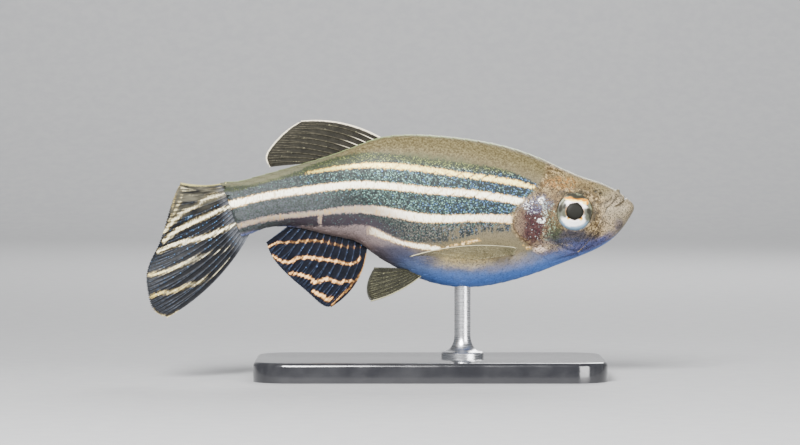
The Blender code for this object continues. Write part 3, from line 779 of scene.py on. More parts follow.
class Graph:
    """A short way to write a node tree."""

    def __init__(self, tree: bpy.types.NodeTree) -> None:
        """Keep the tree that nodes are added to."""
        self.tree = tree

    def join(self, value: Value, socket: bpy.types.NodeSocket) -> None:
        """Link a field to an input, or set the input to a value.

        Args:
            value: a field, number, colour or vector.
            socket: the input.
        """
        if isinstance(value, Field):
            self.tree.links.new(value.socket, socket)
        else:
            socket.default_value = (*value, 1.0) if socket.type == "RGBA" else value

    def fill(self, node: bpy.types.Node, **inputs: object) -> bpy.types.Node:
        """Set a node's properties and inputs.

        Args:
            node: the node.
            inputs: values by property, by input name with _ for a space, or by i and an input's number.

        Returns:
            The same node.
        """
        for name, value in inputs.items():
            if name.islower() and hasattr(node, name):
                setattr(node, name, value)
            else:
                self.join(value, node.inputs[int(name[1:]) if name[1:].isdigit() else name.replace("_", " ")])
        return node

    def add(self, kind: str, **inputs: object) -> bpy.types.Node:
        """Return a new node of a kind, filled."""
        return self.fill(self.tree.nodes.new(kind), **inputs)

    def out(self, kind: str, output: int | str = 0, **inputs: object) -> Field:
        """Return one output of a new node of a kind, filled."""
        return Field(self, self.add(kind, **inputs).outputs[output])

    def math(self, operation: str, a: Value, b: Value, clamp: bool = False) -> Field:
        """Return the result of a Math node on two values."""
        return self.out("ShaderNodeMath", operation=operation, use_clamp=clamp, i0=a, i1=b)

    def mix(self, share: Value, a: Value, b: Value, blend: str = "MIX") -> Field:
        """Return two colours mixed by a share of the second."""
        return self.out("ShaderNodeMix", 2, data_type="RGBA", blend_type=blend, i0=share, i6=a, i7=b)

    def coats(self, colour: Value, *coats: tuple[Value, Value]) -> Field:
        """Lay colours over one another.

        Args:
            colour: the lowest.
            coats: the mask and the colour of each coat, from the lowest up.

        Returns:
            The colour that they make.
        """
        for mask, over in coats:
            colour = self.mix(mask, colour, over)
        return colour

    def attribute(self, name: str) -> Field:
        """Return a number stored on the mesh."""
        return self.out("ShaderNodeAttribute", "Fac", attribute_name=name)

    def place(self, *scale: float) -> Field:
        """Return Object coordinates in millimetres, stretched by any scale given."""
        scale = tuple(part / MM for part in scale or (1.0, 1.0, 1.0))
        return self.out("ShaderNodeMapping", Vector=self.out("ShaderNodeTexCoord", "Object"), Scale=scale)

    def flat(self, x: Value, y: Value) -> Field:
        """Return the place that two numbers make."""
        return self.out("ShaderNodeCombineXYZ", X=x, Y=y)

    def noise(self, place: Field, scale: float, detail: float = 2.0, rough: float = 0.55) -> Field:
        """Return noise from 0 to 1 with scale features to the millimetre."""
        return self.out("ShaderNodeTexNoise", Vector=place, Scale=scale, Detail=detail, Roughness=rough)

    def bump(self, height: Field, strength: float, reach: float) -> Field:
        """Return normals raised by a height, for a reach in millimetres."""
        return self.out("ShaderNodeBump", Strength=strength, Distance=reach * MM, Height=height)

    def warp(self, place: Field, scale: float, reach: float) -> Field:
        """Move places about by noise, to break up the edges of what is laid out on them.

        Args:
            place: Object coordinates in millimetres.
            scale: the noise's features to the millimetre.
            reach: how many millimetres it moves a place.

        Returns:
            The moved places.
        """
        noise = self.out("ShaderNodeTexNoise", "Color", Vector=place, Scale=scale, Detail=3.0)
        offset = self.out("ShaderNodeVectorMath", operation="SUBTRACT", i0=noise, i1=(0.5, 0.5, 0.5))
        offset = self.out("ShaderNodeVectorMath", operation="SCALE", i0=offset, Scale=reach)
        return self.out("ShaderNodeVectorMath", operation="ADD", i0=place, i1=offset)

    def spot(self, place: Field, centre: Pair, size: Pair, soft: float = 0.8) -> Field:
        """Mask an oval of the side view.

        Args:
            place: Object coordinates in millimetres.
            centre: the oval's X and height.
            size: its half length and half height.
            soft: the share of its size over which it fades.

        Returns:
            1 inside the oval and 0 outside it.
        """
        shift = (-centre[0] / size[0], 0.0, -centre[1] / size[1])
        scale = (1 / size[0], 0.0, 1 / size[1])
        oval = self.out("ShaderNodeMapping", Vector=place, Location=shift, Scale=scale)
        far = self.out("ShaderNodeVectorMath", "Value", operation="LENGTH", i0=oval)
        return far.ramp(1 + soft / 2, 1 - soft / 2)

    def picks(self, place: Field, scale: float) -> tuple[Field, Field, Field]:
        """Scatter cells over places.

        Args:
            place: Object coordinates in millimetres.
            scale: the cells to the millimetre.

        Returns:
            Each cell's random number, a second one and the distance from its middle.
        """
        cell = self.add("ShaderNodeTexVoronoi", Vector=place, Scale=scale)
        pick = self.add("ShaderNodeSeparateColor", Color=Field(self, cell.outputs["Color"]))
        return tuple(Field(self, socket) for socket in (*pick.outputs[:2], cell.outputs["Distance"]))


def new_material(name: str) -> tuple[bpy.types.Material, Graph, bpy.types.Node]:
    """Start a material.

    Args:
        name: its name.

    Returns:
        The material, its graph and its Principled shader.
    """
    material = bpy.data.materials.new(name)
    material.use_nodes = True
    return material, Graph(material.node_tree), material.node_tree.nodes["Principled BSDF"]


@dataclass(frozen=True)
class Palette:
    """The fish's own colours."""

    back: Colour = (0.055, 0.042, 0.018)
    back_light: Colour = (0.15, 0.125, 0.06)
    back_rear: Colour = (0.092, 0.096, 0.062)
    # painted highlight: the green sheen that top light lays along the outline of the back
    back_rim_sheen: Colour = (0.2, 0.24, 0.11)
    flank: Colour = (0.12, 0.1, 0.06)
    olive: Colour = (0.07, 0.078, 0.036)
    rose: Colour = (0.19, 0.145, 0.14)
    belly: Colour = (0.085, 0.095, 0.12)
    # painted reflection: the blue that light from below lays on belly, chin and keel
    belly_blue: Colour = (0.075, 0.2, 0.6)
    pale: Colour = (1.0, 0.96, 0.77)
    pale_top: Colour = (1.0, 0.86, 0.31)
    pale_front: Colour = (0.66, 0.53, 0.37)
    pale_rear: Colour = (0.24, 0.185, 0.135)
    fringe: Colour = (0.4, 0.22, 0.035)
    slate: Colour = (0.01, 0.0135, 0.0145)
    mid: Colour = (0.034, 0.041, 0.037)
    turquoise: Colour = (0.22, 0.44, 0.37)
    blue: Colour = (0.1, 0.25, 0.52)
    ground: Colour = (0.86, 0.86, 0.86)
    ash: Colour = (0.062, 0.066, 0.074)
    salt: Colour = (0.115, 0.105, 0.088)
    moss: Colour = (0.026, 0.031, 0.015)
    plum: Colour = (0.03, 0.024, 0.03)
    lime: Colour = (0.4, 0.46, 0.12)
    head: Colour = (0.05, 0.032, 0.013)
    head_light: Colour = (0.26, 0.19, 0.095)
    violet: Colour = (0.05, 0.062, 0.17)
    silver: Colour = (0.9, 0.9, 0.86)
    freckle: Colour = (0.01, 0.009, 0.008)


COLOURS = Palette()


@dataclass(frozen=True)
class Ground:
    """What the fish is painted on.

    place holds Object coordinates in millimetres and along their X. girth runs from 0 on the
    back to 1 on the belly and belt is the same, broken up. edge is 1 on the free edges of scales.
    """

    g: Graph
    place: Field
    along: Field
    fine: Field
    wave: Field
    girth: Field
    belt: Field
    edge: Field


@dataclass(frozen=True)
class Patch:
    """A soft patch of colour on the fish, by its place and half size in the side view."""

    centre: Pair
    size: Pair
    colour: Colour
    strength: float = 0.8
    broken: float = 0.0


def paint(on: Ground, place: Field, patches: tuple[Patch, ...], colour: Field) -> Field:
    """Lay patches over a colour.

    Args:
        on: what the fish is painted on.
        place: the places that the patches are read at.
        patches: the patches, from the lowest up.
        colour: the colour beneath.

    Returns:
        The colour that they make.
    """
    for patch in patches:
        mask = on.g.spot(place, patch.centre, patch.size) * patch.strength
        if patch.broken:
            mask = mask * on.fine.ramp(patch.broken, patch.broken + 0.08)
        colour = on.g.mix(mask, colour, patch.colour)
    return colour


@dataclass(frozen=True)
class FishMarkings:
    """The node group that paints skin and scales alike, from the attributes that both carry."""

    name: str = "fish_markings"
    trunk_patches: tuple[Patch, ...] = (
        Patch((4.2, 9.35), (4.4, 0.8), (0.22, 0.17, 0.08), 0.9),
        Patch((2.6, 9.35), (2.3, 0.55), (0.5, 0.39, 0.17), 0.85, 0.42),
        Patch((4.6, 10.75), (3.2, 0.5), (0.12, 0.1, 0.055), 0.8),
        Patch((-3.0, 10.0), (2.0, 0.75), (0.05, 0.045, 0.06), 0.85),
        Patch((-0.9, 9.5), (1.7, 0.55), (0.05, 0.048, 0.064), 0.75, 0.4),
    )
    head_patches: tuple[Patch, ...] = (
        Patch((12.2, 15.9), (2.6, 0.9), (0.15, 0.115, 0.055), 0.6),
        Patch((10.4, 15.6), (1.3, 0.5), (0.2, 0.095, 0.025), 0.85, 0.45),
        Patch((12.4, 15.3), (0.9, 0.25), (0.06, 0.04, 0.02), 0.7, 0.42),
        Patch((14.3, 15.05), (1.3, 0.6), (0.13, 0.105, 0.055), 0.8),
        Patch((15.2, 13.0), (1.5, 2.2), (0.2, 0.165, 0.11), 0.85),
        Patch((15.05, 12.3), (0.4, 0.45), (0.06, 0.05, 0.06), 0.75),
        Patch((14.2, 11.9), (0.7, 0.9), (0.3, 0.22, 0.13), 0.7, 0.45),
        Patch((11.2, 11.2), (2.0, 0.8), (0.025, 0.024, 0.032), 0.92),
        Patch((9.9, 12.0), (0.55, 1.6), (0.03, 0.036, 0.017), 0.85, 0.4),
        Patch((9.8, 13.7), (0.8, 1.4), (0.085, 0.055, 0.027), 0.8),
        Patch((8.1, 12.3), (1.15, 1.6), (0.03, 0.009, 0.012), 0.94),
        Patch((10.9, 10.75), (1.9, 0.45), (0.03, 0.034, 0.06), 0.85, 0.42),
        Patch((7.1, 12.4), (0.45, 1.0), (0.13, 0.09, 0.06), 0.6),
        Patch((8.5, 13.95), (1.1, 0.7), (0.06, 0.066, 0.12), 0.85, 0.42),
        Patch((11.5, 14.75), (1.1, 0.26), (0.03, 0.025, 0.015), 0.9),
        Patch((12.98, 13.3), (0.22, 0.9), (0.045, 0.035, 0.02), 0.8),
        Patch((10.2, 10.55), (1.3, 0.25), (0.36, 0.28, 0.12), 0.6, 0.5),
        Patch((9.0, 10.5), (1.1, 0.5), (0.2, 0.14, 0.11), 0.35),
    )
    silver_patches: tuple[Patch, ...] = (
        Patch((8.83, 14.27), (0.22, 0.17), COLOURS.silver, 0.95, 0.42),
        Patch((7.9, 13.85), (0.5, 0.45), COLOURS.silver, 0.9, 0.55),
        Patch((9.1, 13.45), (0.25, 0.75), (0.5, 0.58, 0.52), 0.85, 0.52),
        Patch((8.4, 13.35), (0.7, 0.7), COLOURS.silver, 0.9, 0.6),
        Patch((8.85, 12.62), (0.32, 0.2), COLOURS.silver, 0.95, 0.44),
        Patch((8.6, 12.0), (1.0, 1.9), (0.5, 0.56, 0.56), 0.85, 0.62),
        Patch((9.5, 12.5), (0.5, 1.5), (0.3, 0.4, 0.27), 0.8, 0.56),
        # painted highlight: a peach line along the lower edge of the gill cover
        Patch((8.7, 10.35), (0.6, 0.2), (0.6, 0.47, 0.38), 0.9, 0.44),
    )
    freckles: tuple[tuple[float, float, float], ...] = ((3.2, 0.24, 0.5), (5.0, 0.32, 0.5), (8.0, 0.42, 0.4))

    def build(self) -> bpy.types.NodeTree:
        """Make the group.

        Returns:
            A group that takes Scale Edge and puts out Colour, Metallic, Roughness and Relief.
        """
        group = bpy.data.node_groups.new(self.name, "ShaderNodeTree")
        group.interface.new_socket("Scale Edge", in_out="INPUT", socket_type="NodeSocketFloat")
        for name in ("Colour", "Metallic", "Roughness", "Relief"):
            kind = "NodeSocketColor" if name == "Colour" else "NodeSocketFloat"
            group.interface.new_socket(name, in_out="OUTPUT", socket_type=kind)
        g = Graph(group)
        place = g.place()
        medium = g.noise(place, 2.2, 3.0)
        fine = g.noise(place, 7.0, 3.0, 0.7)
        wave, girth = medium - 0.5, g.attribute("girth")
        along, edge = g.out("ShaderNodeSeparateXYZ", Vector=place), g.out("NodeGroupInput", "Scale Edge")
        on = Ground(g, place, along, fine, wave, girth, girth + wave * 0.06, edge)
        colour, shine = self.head(on, *self.trunk(on))
        g.add("NodeGroupOutput", Colour=colour, Metallic=shine.ramp(0.0, 1.0, 0.05, 0.35),
              Roughness=shine.ramp(0.0, 1.0, 0.46, 0.28), Relief=fine * 0.6 + medium * 0.4)
        return group

    def trunk(self, on: Ground) -> tuple[Field, Field]:
        """Paint the trunk, its dark stripes and then its pale ones.

        Args:
            on: what the fish is painted on.

        Returns:
            The colour and the silvery shine.
        """
        g, along, girth = on.g, on.along, on.belt
        low_front = along.ramp(-2.0, 4.0) * girth.ramp(0.475, 0.53)
        streaks = g.noise(g.place(3.2, 1.0, 0.9), 1.5, 3.0).ramp(0.49, 0.55)
        dark = (g.attribute("dark") + on.wave * 0.3 + (on.fine - 0.5) * 0.7).ramp(-0.1, 0.12)
        dark = dark * (1.0 - low_front * streaks * 0.95)
        slate, lit = self.dark_stripes(on)
        freckles = g.noise(on.place, 11.0, 2.0).ramp(0.52, 0.62) * 0.45 * girth.ramp(0.2, 0.3)
        colour = g.coats(self.plain_trunk(on), (freckles, COLOURS.freckle), (dark, slate))
        colour = g.mix(1.0, colour, COLOURS.ground, "MULTIPLY")
        band, pale = self.pale_stripes(on)
        return g.mix(pale, colour, band), g.math("ADD", dark * (lit * 0.8), pale * 0.3, clamp=True)

    def plain_trunk(self, on: Ground) -> Field:
        """Paint back, flank and belly without their stripes, with the painted blue reflection of light from
        below on the belly and keel.

        Args:
            on: what the fish is painted on.

        Returns:
            The colour.
        """
        g, along, fine, girth = on.g, on.along, on.fine, on.belt
        green = girth.ramp(0.2, 0.25) * along.ramp(5.0, 1.0) * fine.ramp(0.35, 0.6, 0.4, 1.0)
        colour = g.coats(
            COLOURS.back,
            (fine.ramp(0.36, 0.66), COLOURS.back_light),
            (along.ramp(-5.0, -10.0, 0.0, 0.75), COLOURS.back_rear),
            (on.edge * 0.3, COLOURS.back),
            # painted highlight: green sheen along the top of the back
            (girth.ramp(0.075, 0.03), COLOURS.back_rim_sheen),
            (girth.ramp(0.18, 0.36), COLOURS.flank),
            (green * girth.ramp(0.34, 0.3), COLOURS.olive),
            (girth.ramp(0.5, 0.62) * along.ramp(1.0, -4.0), COLOURS.rose),
            (girth.ramp(0.66, 0.76) * along.ramp(-4.5, -2.0), COLOURS.belly),
        )
        colour = paint(on, g.warp(on.place, 1.1, 0.9), self.trunk_patches, colour)
        # painted reflection of blue light from below on the belly and on the keel under the tail
        keel_reflection = girth.ramp(0.8, 0.92) * along.ramp(-10.0, -11.5) * 0.5
        blue = (girth.ramp(0.66, 0.92) * along.ramp(-4.0, 2.0)) | keel_reflection
        return g.mix(blue * 0.95, colour, COLOURS.belly_blue)

    @staticmethod
    def dark_stripes(on: Ground) -> tuple[Field, Field]:
        """Paint the dark stripes with their glinting specks.

        Args:
            on: what the fish is painted on.

        Returns:
            The colour and how brightly the specks are lit.
        """
        g, along, fine, girth = on.g, on.along, on.fine, on.belt
        chance, hue, far = g.picks(on.place, 10.5)
        lively = along.ramp(-13.0, -3.0, 0.35, 1.0) * girth.ramp(0.57, 0.45, 0.2, 1.0)
        lit = (chance + lively * 0.5).ramp(0.8, 1.42, kind=Ramp.STRAIGHT) ** 1.9 * far.ramp(0.75, 0.25)
        lit = lit * along.ramp(-2.0, 6.0, 0.9, 0.85) * girth.ramp(0.29, 0.25, 1.0, 0.45)
        glint = g.coats(
            COLOURS.turquoise,
            ((hue + along.ramp(-6.0, 8.0, -0.3, 0.25)).ramp(0.5, 0.75), COLOURS.blue),
            (girth.ramp(0.3, 0.26), COLOURS.lime),
        )
        ashy = (girth.ramp(0.36, 0.44) | along.ramp(-9.0, -12.0, 0.0, 0.7)) * along.ramp(-5.0, -10.0)
        grizzle = girth.ramp(0.46, 0.5) * along.ramp(-5.0, -1.0)
        grizzle = grizzle * g.noise(on.place, 9.5, 2.0).ramp(0.53, 0.62)
        lower = (girth + along.ramp(-4.0, -9.0, 0.0, -0.07)).ramp(0.57, 0.63)
        slate = g.coats(
            COLOURS.slate,
            (fine.ramp(0.42, 0.62), COLOURS.mid),
            (along.ramp(-4.0, 4.0, 0.0, 0.75), COLOURS.slate),
            (ashy, g.mix(fine.ramp(0.42, 0.6), COLOURS.mid, COLOURS.ash)),
            (grizzle, COLOURS.salt),
            (girth.ramp(0.29, 0.25) * fine.ramp(0.35, 0.6, 1.0, 0.7), COLOURS.moss),
            (along.ramp(-1.0, -5.0) * along.ramp(-13.0, -10.5) * lower, COLOURS.plum),
            (lit, glint),
        )
        return slate, lit

    @staticmethod
    def pale_stripes(on: Ground) -> tuple[Field, Field]:
        """Paint the pale stripes with their ragged golden edges.

        Args:
            on: what the fish is painted on.

        Returns:
            The colour and the mask of the stripes.
        """
        g, along, girth, edge = on.g, on.along, on.belt, on.edge
        ticks = g.noise(g.place(4.5, 1.0, 1.1), 1.6, 2.0) - 0.5
        depth = g.attribute("pale") + (on.fine - 0.5) * 0.27 + ticks * 0.3 - edge * 0.05
        lowest = girth.ramp(0.57, 0.61) * along.ramp(-6.0, -3.0, 0.0, 0.8)
        rear = along.ramp(0.0, -5.0) * girth.ramp(0.46, 0.54) * (1.0 - lowest)
        upper = girth.ramp(0.38, 0.33)
        white = g.coats(
            COLOURS.pale,
            (upper, COLOURS.pale_top),
            (upper * along.ramp(-5.0, -9.0), COLOURS.lime),
            (rear * 0.93, COLOURS.pale_rear),
            (along.ramp(4.4, 6.4, 0.0, 0.8) * girth.ramp(0.42, 0.47), COLOURS.pale_front),
            (ticks.ramp(0.03, 0.16) * 0.55, COLOURS.fringe),
        )
        band = g.mix(depth.ramp(-0.02, 0.15), g.mix(rear, COLOURS.fringe, COLOURS.rose), white)
        return g.mix(edge * 0.12, band, COLOURS.fringe), depth.ramp(-0.06, 0.06)

    def head(self, on: Ground, colour: Field, shine: Field) -> tuple[Field, Field]:
        """Paint the head over the trunk.

        Args:
            on: what the fish is painted on.
            colour: the trunk's colour.
            shine: the trunk's shine.

        Returns:
            The colour and the shine.
        """
        g, place, nose = on.g, on.place, on.along
        below = on.girth.ramp(0.68, 0.8) * nose.ramp(12.0, 8.5)
        share = (g.attribute("head") + on.wave * 0.6).ramp(-0.3, 0.1) * (1.0 - below)
        moved = g.warp(place, 1.6, 0.7)
        mottle = g.noise(g.warp(place, 2.5, 0.5), 3.4, 4.0, 0.65)
        tone = g.mix(mottle.ramp(0.43, 0.59), COLOURS.head, COLOURS.head_light)
        girth = on.girth + on.wave * 0.1
        tone = g.coats(
            paint(on, moved, self.head_patches, tone),
            (girth.ramp(0.68, 0.79) * nose.ramp(15.3, 13.7, 0.0, 0.9), COLOURS.violet),
            # painted reflection of blue light from below under the chin
            (girth.ramp(0.84, 0.97) * nose.ramp(15.7, 14.2, 0.0, 0.9), COLOURS.belly_blue),
            # painted highlight: green sheen along the top of the head
            (on.girth.ramp(0.07, 0.03), COLOURS.back_rim_sheen),
        )
        shades = g.noise(place, 13.0, 4.0, 0.78).ramp(0.38, 0.62, 0.45, 1.6)
        grey = g.out("ShaderNodeCombineColor", Red=shades, Green=shades, Blue=shades)
        tone = g.mix(1.0, tone, grey, "MULTIPLY")
        for scale, size, rare in self.freckles:
            chance, _, far = g.picks(place, scale)
            dots = far.ramp(size, size * 0.5) * chance.ramp(rare, rare + 0.05)
            tone = g.mix(dots * 0.9, tone, COLOURS.freckle)
        tone = paint(on, moved, self.silver_patches, g.mix(1.0, tone, COLOURS.ground, "MULTIPLY"))
        # painted shade of the grooves, mouth cleft, nostrils and eye sockets
        tone = g.mix(g.attribute("crease") * 0.9, tone, COLOURS.freckle)
        return g.mix(share, colour, tone), shine * (1.0 - share) + share * 0.2


@dataclass(frozen=True)
class SkinFinish:
    """The finish of the skin, or of the scales over it, which name the attribute of their edges."""

    name: str
    edge_map: str | None = None

    def build(self, group: bpy.types.NodeTree) -> bpy.types.Material:
        """Make the material around the shared markings.

        Args:
            group: the markings.

        Returns:
            The material.
        """
        material, g, shader = new_material(self.name)
        marks = g.add("ShaderNodeGroup", node_tree=group)
        if self.edge_map:
            g.fill(marks, Scale_Edge=g.attribute(self.edge_map).ramp(0.9, 1.0))
        colour, metal, rough, relief = (Field(g, socket) for socket in marks.outputs)
        g.fill(shader, Base_Color=colour, Metallic=metal, Roughness=rough, Normal=g.bump(relief, 0.3, 0.04),
               Specular_IOR_Level=0.15, Coat_Weight=0.03, Coat_Roughness=0.2)
        return material


def between(ends: Pair, share: Numbers) -> Numbers:
    """Return the value at a share of the way from one end to the other."""
    return ends[0] + (ends[1] - ends[0]) * share


def unwrap(x: Numbers, angle: Numbers) -> Numbers:
    """Return the place of the skin at x and angle on the flat map of its own shape."""
    along = 0.02 + 0.94 * (BODY.snout_x - np.asarray(x)) / (BODY.snout_x - BODY.tail_end_x + 1.0)
    return np.stack([along, 0.02 + 0.96 * np.asarray(angle) / (2 * np.pi)], axis=-1)


@dataclass
class Skin:
    """The one skin over head, jaw, gill covers, trunk and tail."""

    around: int = 224
    tip_gaps: tuple[float, ...] = (0.004, 0.012, 0.028, 0.05, 0.08, 0.115, 0.155)
    nose_step: float = 0.05
    head_step: float = 0.09
    trunk_step: float = 0.24
    nose_x: float = 13.4
    head_x: float = 6.2
    end_length: float = 0.5
    end_rings: int = 10
    end_side: float = -0.26
    end_flat: float = 0.2
    end_map: float = 0.9

    def places(self) -> Numbers:
        """Place the sections, closer together at the snout.

        Returns:
            The X of each.
        """
        tip = BODY.snout_x - np.array(self.tip_gaps)
        nose = np.arange(tip[-1] - self.nose_step, self.nose_x, -self.nose_step)
        head = np.arange(self.nose_x, self.head_x, -self.head_step)
        trunk = np.arange(self.head_x, BODY.tail_end_x, -self.trunk_step)
        return np.concatenate([tip, nose, head, trunk, [BODY.tail_end_x]])

    def build(self, finish: bpy.types.Material) -> None:
        """Make the skin with its mouth, lips, nostrils, eye rims and gill openings.

        Args:
            finish: its material.
        """
        angles = np.linspace(0, 2 * np.pi, self.around, endpoint=False)
        xs, turns = np.meshgrid(self.places(), angles, indexing="ij")
        points = BODY.surface(xs, turns)
        relief = skin_relief(points[..., 0], points[..., 2])
        points = points + BODY.normals(xs, turns) * relief[..., None]
        points = np.concatenate([points, self.end(points[-1])])
        rings = len(points)
        flat = points.reshape(-1, 3)
        tip_y = float(BODY.middle_y(np.array(BODY.snout_x), np.array(BODY.snout_z)))
        tips = (BODY.snout_x, tip_y, BODY.snout_z), flat[-self.around:].mean(axis=0)
        flat = np.vstack([flat, *tips])
        skin = add_mesh("skin", flat, self.faces(rings))
        girth = 1 - np.abs(1 - angles / np.pi)
        mark_fish(skin, flat, np.concatenate([np.tile(girth, rings), [0.5, 0.5]]))
        ends = np.linspace(BODY.tail_end_x, BODY.tail_end_x - self.end_map, self.end_rings + 1)[1:]
        xs, turns = np.meshgrid(np.concatenate([self.places(), ends]), angles, indexing="ij")
        spread = unwrap(xs, turns).reshape(-1, 2)
        set_uv(skin, np.vstack([spread, [0.01, 0.5], [0.98, 0.5]]))
        # painted shade at the bottom of the grooves, mouth cleft, nostrils and eye sockets
        set_attribute(skin, "crease", creases(flat[:, 0], flat[:, 2]))
        put_in_place(skin, finish, Slot.BODY, "head", "lower_jaw", "gill_cover_right", "gill_cover_left",
                     "trunk", "tail")

    def faces(self, rings: int) -> list[Face]:
        """Join the rings to each other and to the points of snout and tail, which come after them.

        Args:
            rings: how many there are.

        Returns:
            The points of each face.
        """
        last = (rings - 1) * self.around
        snout = rings * self.around
        pairs = [(i, (i + 1) % self.around) for i in range(self.around)]
        faces = []
        for a in range(0, last, self.around):
            b = a + self.around
            faces += [(a + i, a + j, b + j, b + i) for i, j in pairs]
        for i, j in pairs:
            faces += [(j, i, snout), (last + i, last + j, snout + 1)]
        return faces

    def end(self, ring: Numbers) -> Numbers:
        """Round off the tail over the roots of the tail fin.

        Args:
            ring: the points of the last section.

        Returns:
            The rings behind it.
        """
        middle = ring.mean(axis=0)
        away = np.array(Vector((-1.0, self.end_side, BODY.tail_end_lean)).normalized())
        longer = 1 - 0.3 * (ring[:, 2:] - middle[2])
        rings = []
        for k in range(1, self.end_rings + 1):
            share = k / self.end_rings
            flat = between((self.end_flat, 1.0), math.sqrt(1 - share ** 2))
            offset = (ring - middle) * np.array([1.0, flat, 1 - 0.06 * share ** 2])
            rings.append(middle + offset + away * self.end_length * share * longer)
        return np.array(rings)


@dataclass
class Scales:
    """The coat of thin overlapping scales on one flank, with the seed of their small shifts."""

    side: Side
    seed: int
    rows: int = 13
    pitch: float = 0.98
    rear_pitch: float = 0.9
    rear_x: float = -10.0
    first_x: float = 10.2
    head_gap: float = 0.1
    shift: float = 0.02
    across: int = 7
    down: int = 8
    root: float = 1.15
    free: float = 0.56
    half_height: float = 0.74
    lift: Pair = (0.008, 0.055)
    thick: float = 0.02
    first_row: float = 0.035
    last_row: float = 0.965
    map_size: float = 0.003

    @property
    def row_step(self) -> float:
        """Return the share of the way from back to belly between rows."""
        return (self.last_row - self.first_row) / (self.rows - 1)

    def angle(self, share: Numbers) -> Numbers:
        """Return the angle round the body at a share of the way from back to belly."""
        return np.pi * share if self.side is Side.LEFT else 2 * np.pi - np.pi * share

    def places(self) -> Iterator[tuple[float, float, float, Numbers]]:
        """Go over the scales row by row, from the head to the tail.

        Yields:
            Each scale's X, its share of the way from back to belly, its row's pitch there and
            the random numbers that shift it.
        """
        random = np.random.default_rng(self.seed)
        for row in range(self.rows):
            share = self.first_row + row * self.row_step
            x = self.first_x - (row % 2) * self.pitch / 2
            while x > BODY.tail_end_x - 0.1:
                shift = random.normal(0, self.shift, 3)
                centre = BODY.surface(np.array(x), self.angle(np.array(share)))
                pitch = self.pitch * (1.0 if x > self.rear_x else self.rear_pitch)
                if head_side(centre[0:1], centre[2:3])[0] < self.head_gap:
                    yield x, share, pitch, shift
                x -= pitch

    def build(self, finish: bpy.types.Material) -> None:
        """Make the scales, each one laid over the roots of those behind it.

        Args:
            finish: their material.
        """
        u, v = np.meshgrid(np.linspace(-1, 1, self.across), np.linspace(0, 1, self.down), indexing="ij")
        patch = sheet_faces(self.across, self.down, self.side is Side.LEFT)
        on_map = np.tile(np.column_stack([v.ravel() - 0.5, u.ravel() * 0.5]), (2, 1)) * self.map_size
        points, faces, girths, anchors = [], [], [], []
        for x, share, pitch, shift in self.places():
            start = len(points) * 2 * u.size
            faces += [tuple(start + k for k in face) for face in patch]
            scale, girth = self.scale(x + shift[0] * pitch, share + shift[1] * self.row_step, u, v, pitch)
            points.append(scale)
            girths.append(np.tile(girth.ravel(), 2))
            turn = np.pi * (share if self.side is Side.LEFT else 2 - share)
            anchors.append(unwrap(x + self.root * pitch, turn) + on_map)
        reach = np.clip(np.hypot(u * 0.9, np.maximum(v - 0.25, 0) / 0.75), 0, 1)
        scales = add_mesh(f"scales_{self.side.word}", np.vstack(points), faces)
        mark_fish(scales, np.vstack(points), np.concatenate(girths))
        set_attribute(scales, "scale_edge", np.tile(reach.ravel(), 2 * len(points)))
        set_uv(scales, np.vstack(anchors))
        pick_only(scales)
        bpy.ops.object.shade_smooth_by_angle(angle=math.radians(50))
        put_in_place(scales, finish, Slot.BODY)

    def scale(self, x: float, share: float, u: Numbers, v: Numbers, pitch: float) -> tuple[Numbers, Numbers]:
        """Lay out one scale.

        Args:
            x: the place of its middle.
            share: its row, from back to belly.
            u: across the scale, from -1 to 1.
            v: along it, from its root to its free edge.
            pitch: the distance between scales of a row.

        Returns:
            The points of its outer and inner face, and the girth of each point of one face.
        """
        round_end = np.sqrt(np.clip(1 - 0.72 * u ** 2, 0, 1))
        back = (self.root - v * (self.root + self.free) * (0.62 + 0.38 * round_end)) * pitch
        width = self.half_height * (0.72 + 0.28 * np.sin(np.pi * np.clip(v * 0.9 + 0.1, 0, 1)))
        shares = np.clip(share + u * width * self.row_step, 0.002, 0.998)
        xs = np.clip(x + back, BODY.tail_end_x - 0.35, None)
        base = BODY.surface(xs, self.angle(shares))
        out = BODY.normals(xs, self.angle(shares))
        lift = between(self.lift, v ** 1.3) - 0.03 * u ** 2 * (1 - 0.3 * v)
        outer = base + out * lift[..., None]
        inner = base + out * (lift - self.thick)[..., None]
        return np.vstack([outer.reshape(-1, 3), inner.reshape(-1, 3)]), shares


Surface = Callable[[Numbers, Numbers], Numbers]


def tip_curves(tips: Points) -> tuple[Curve, Curve]:
    """Return the X and height of a fin's edge as curves over the share across its rays."""
    last = len(tips) - 1
    return tuple(Curve([(i / last, tip[axis]) for i, tip in enumerate(tips)]) for axis in range(2))


def bent_ray(root: Places, tips: Points, across: Numbers, bulge: Numbers, share: Numbers) -> Places:
    """Find places on curved rays in the side view.

    Args:
        root: the X and heights of the rays' roots.
        tips: the fin's edge.
        across: the share across the rays.
        bulge: how far their middles bulge, as a share of their length.
        share: the share along the rays.

    Returns:
        The places' X and heights.
    """
    tip = [curve(across) for curve in tip_curves(tips)]
    dx, dz = tip[0] - root[0], tip[1] - root[1]
    hx = (root[0] + tip[0]) / 2 - dz * bulge * 2
    hz = (root[1] + tip[1]) / 2 + dx * bulge * 2
    a, b, c = (1 - share) ** 2, 2 * share * (1 - share), share ** 2
    return a * root[0] + b * hx + c * tip[0], a * root[1] + b * hz + c * tip[1]


@dataclass(frozen=True)
class Band:
    """A pale band of a fin: its line and half width, and how golden and strong it is from end to end."""

    line: Points
    half: float
    gold: Pair = (0.0, 0.0)
    strength: Pair = (1.0, 1.0)


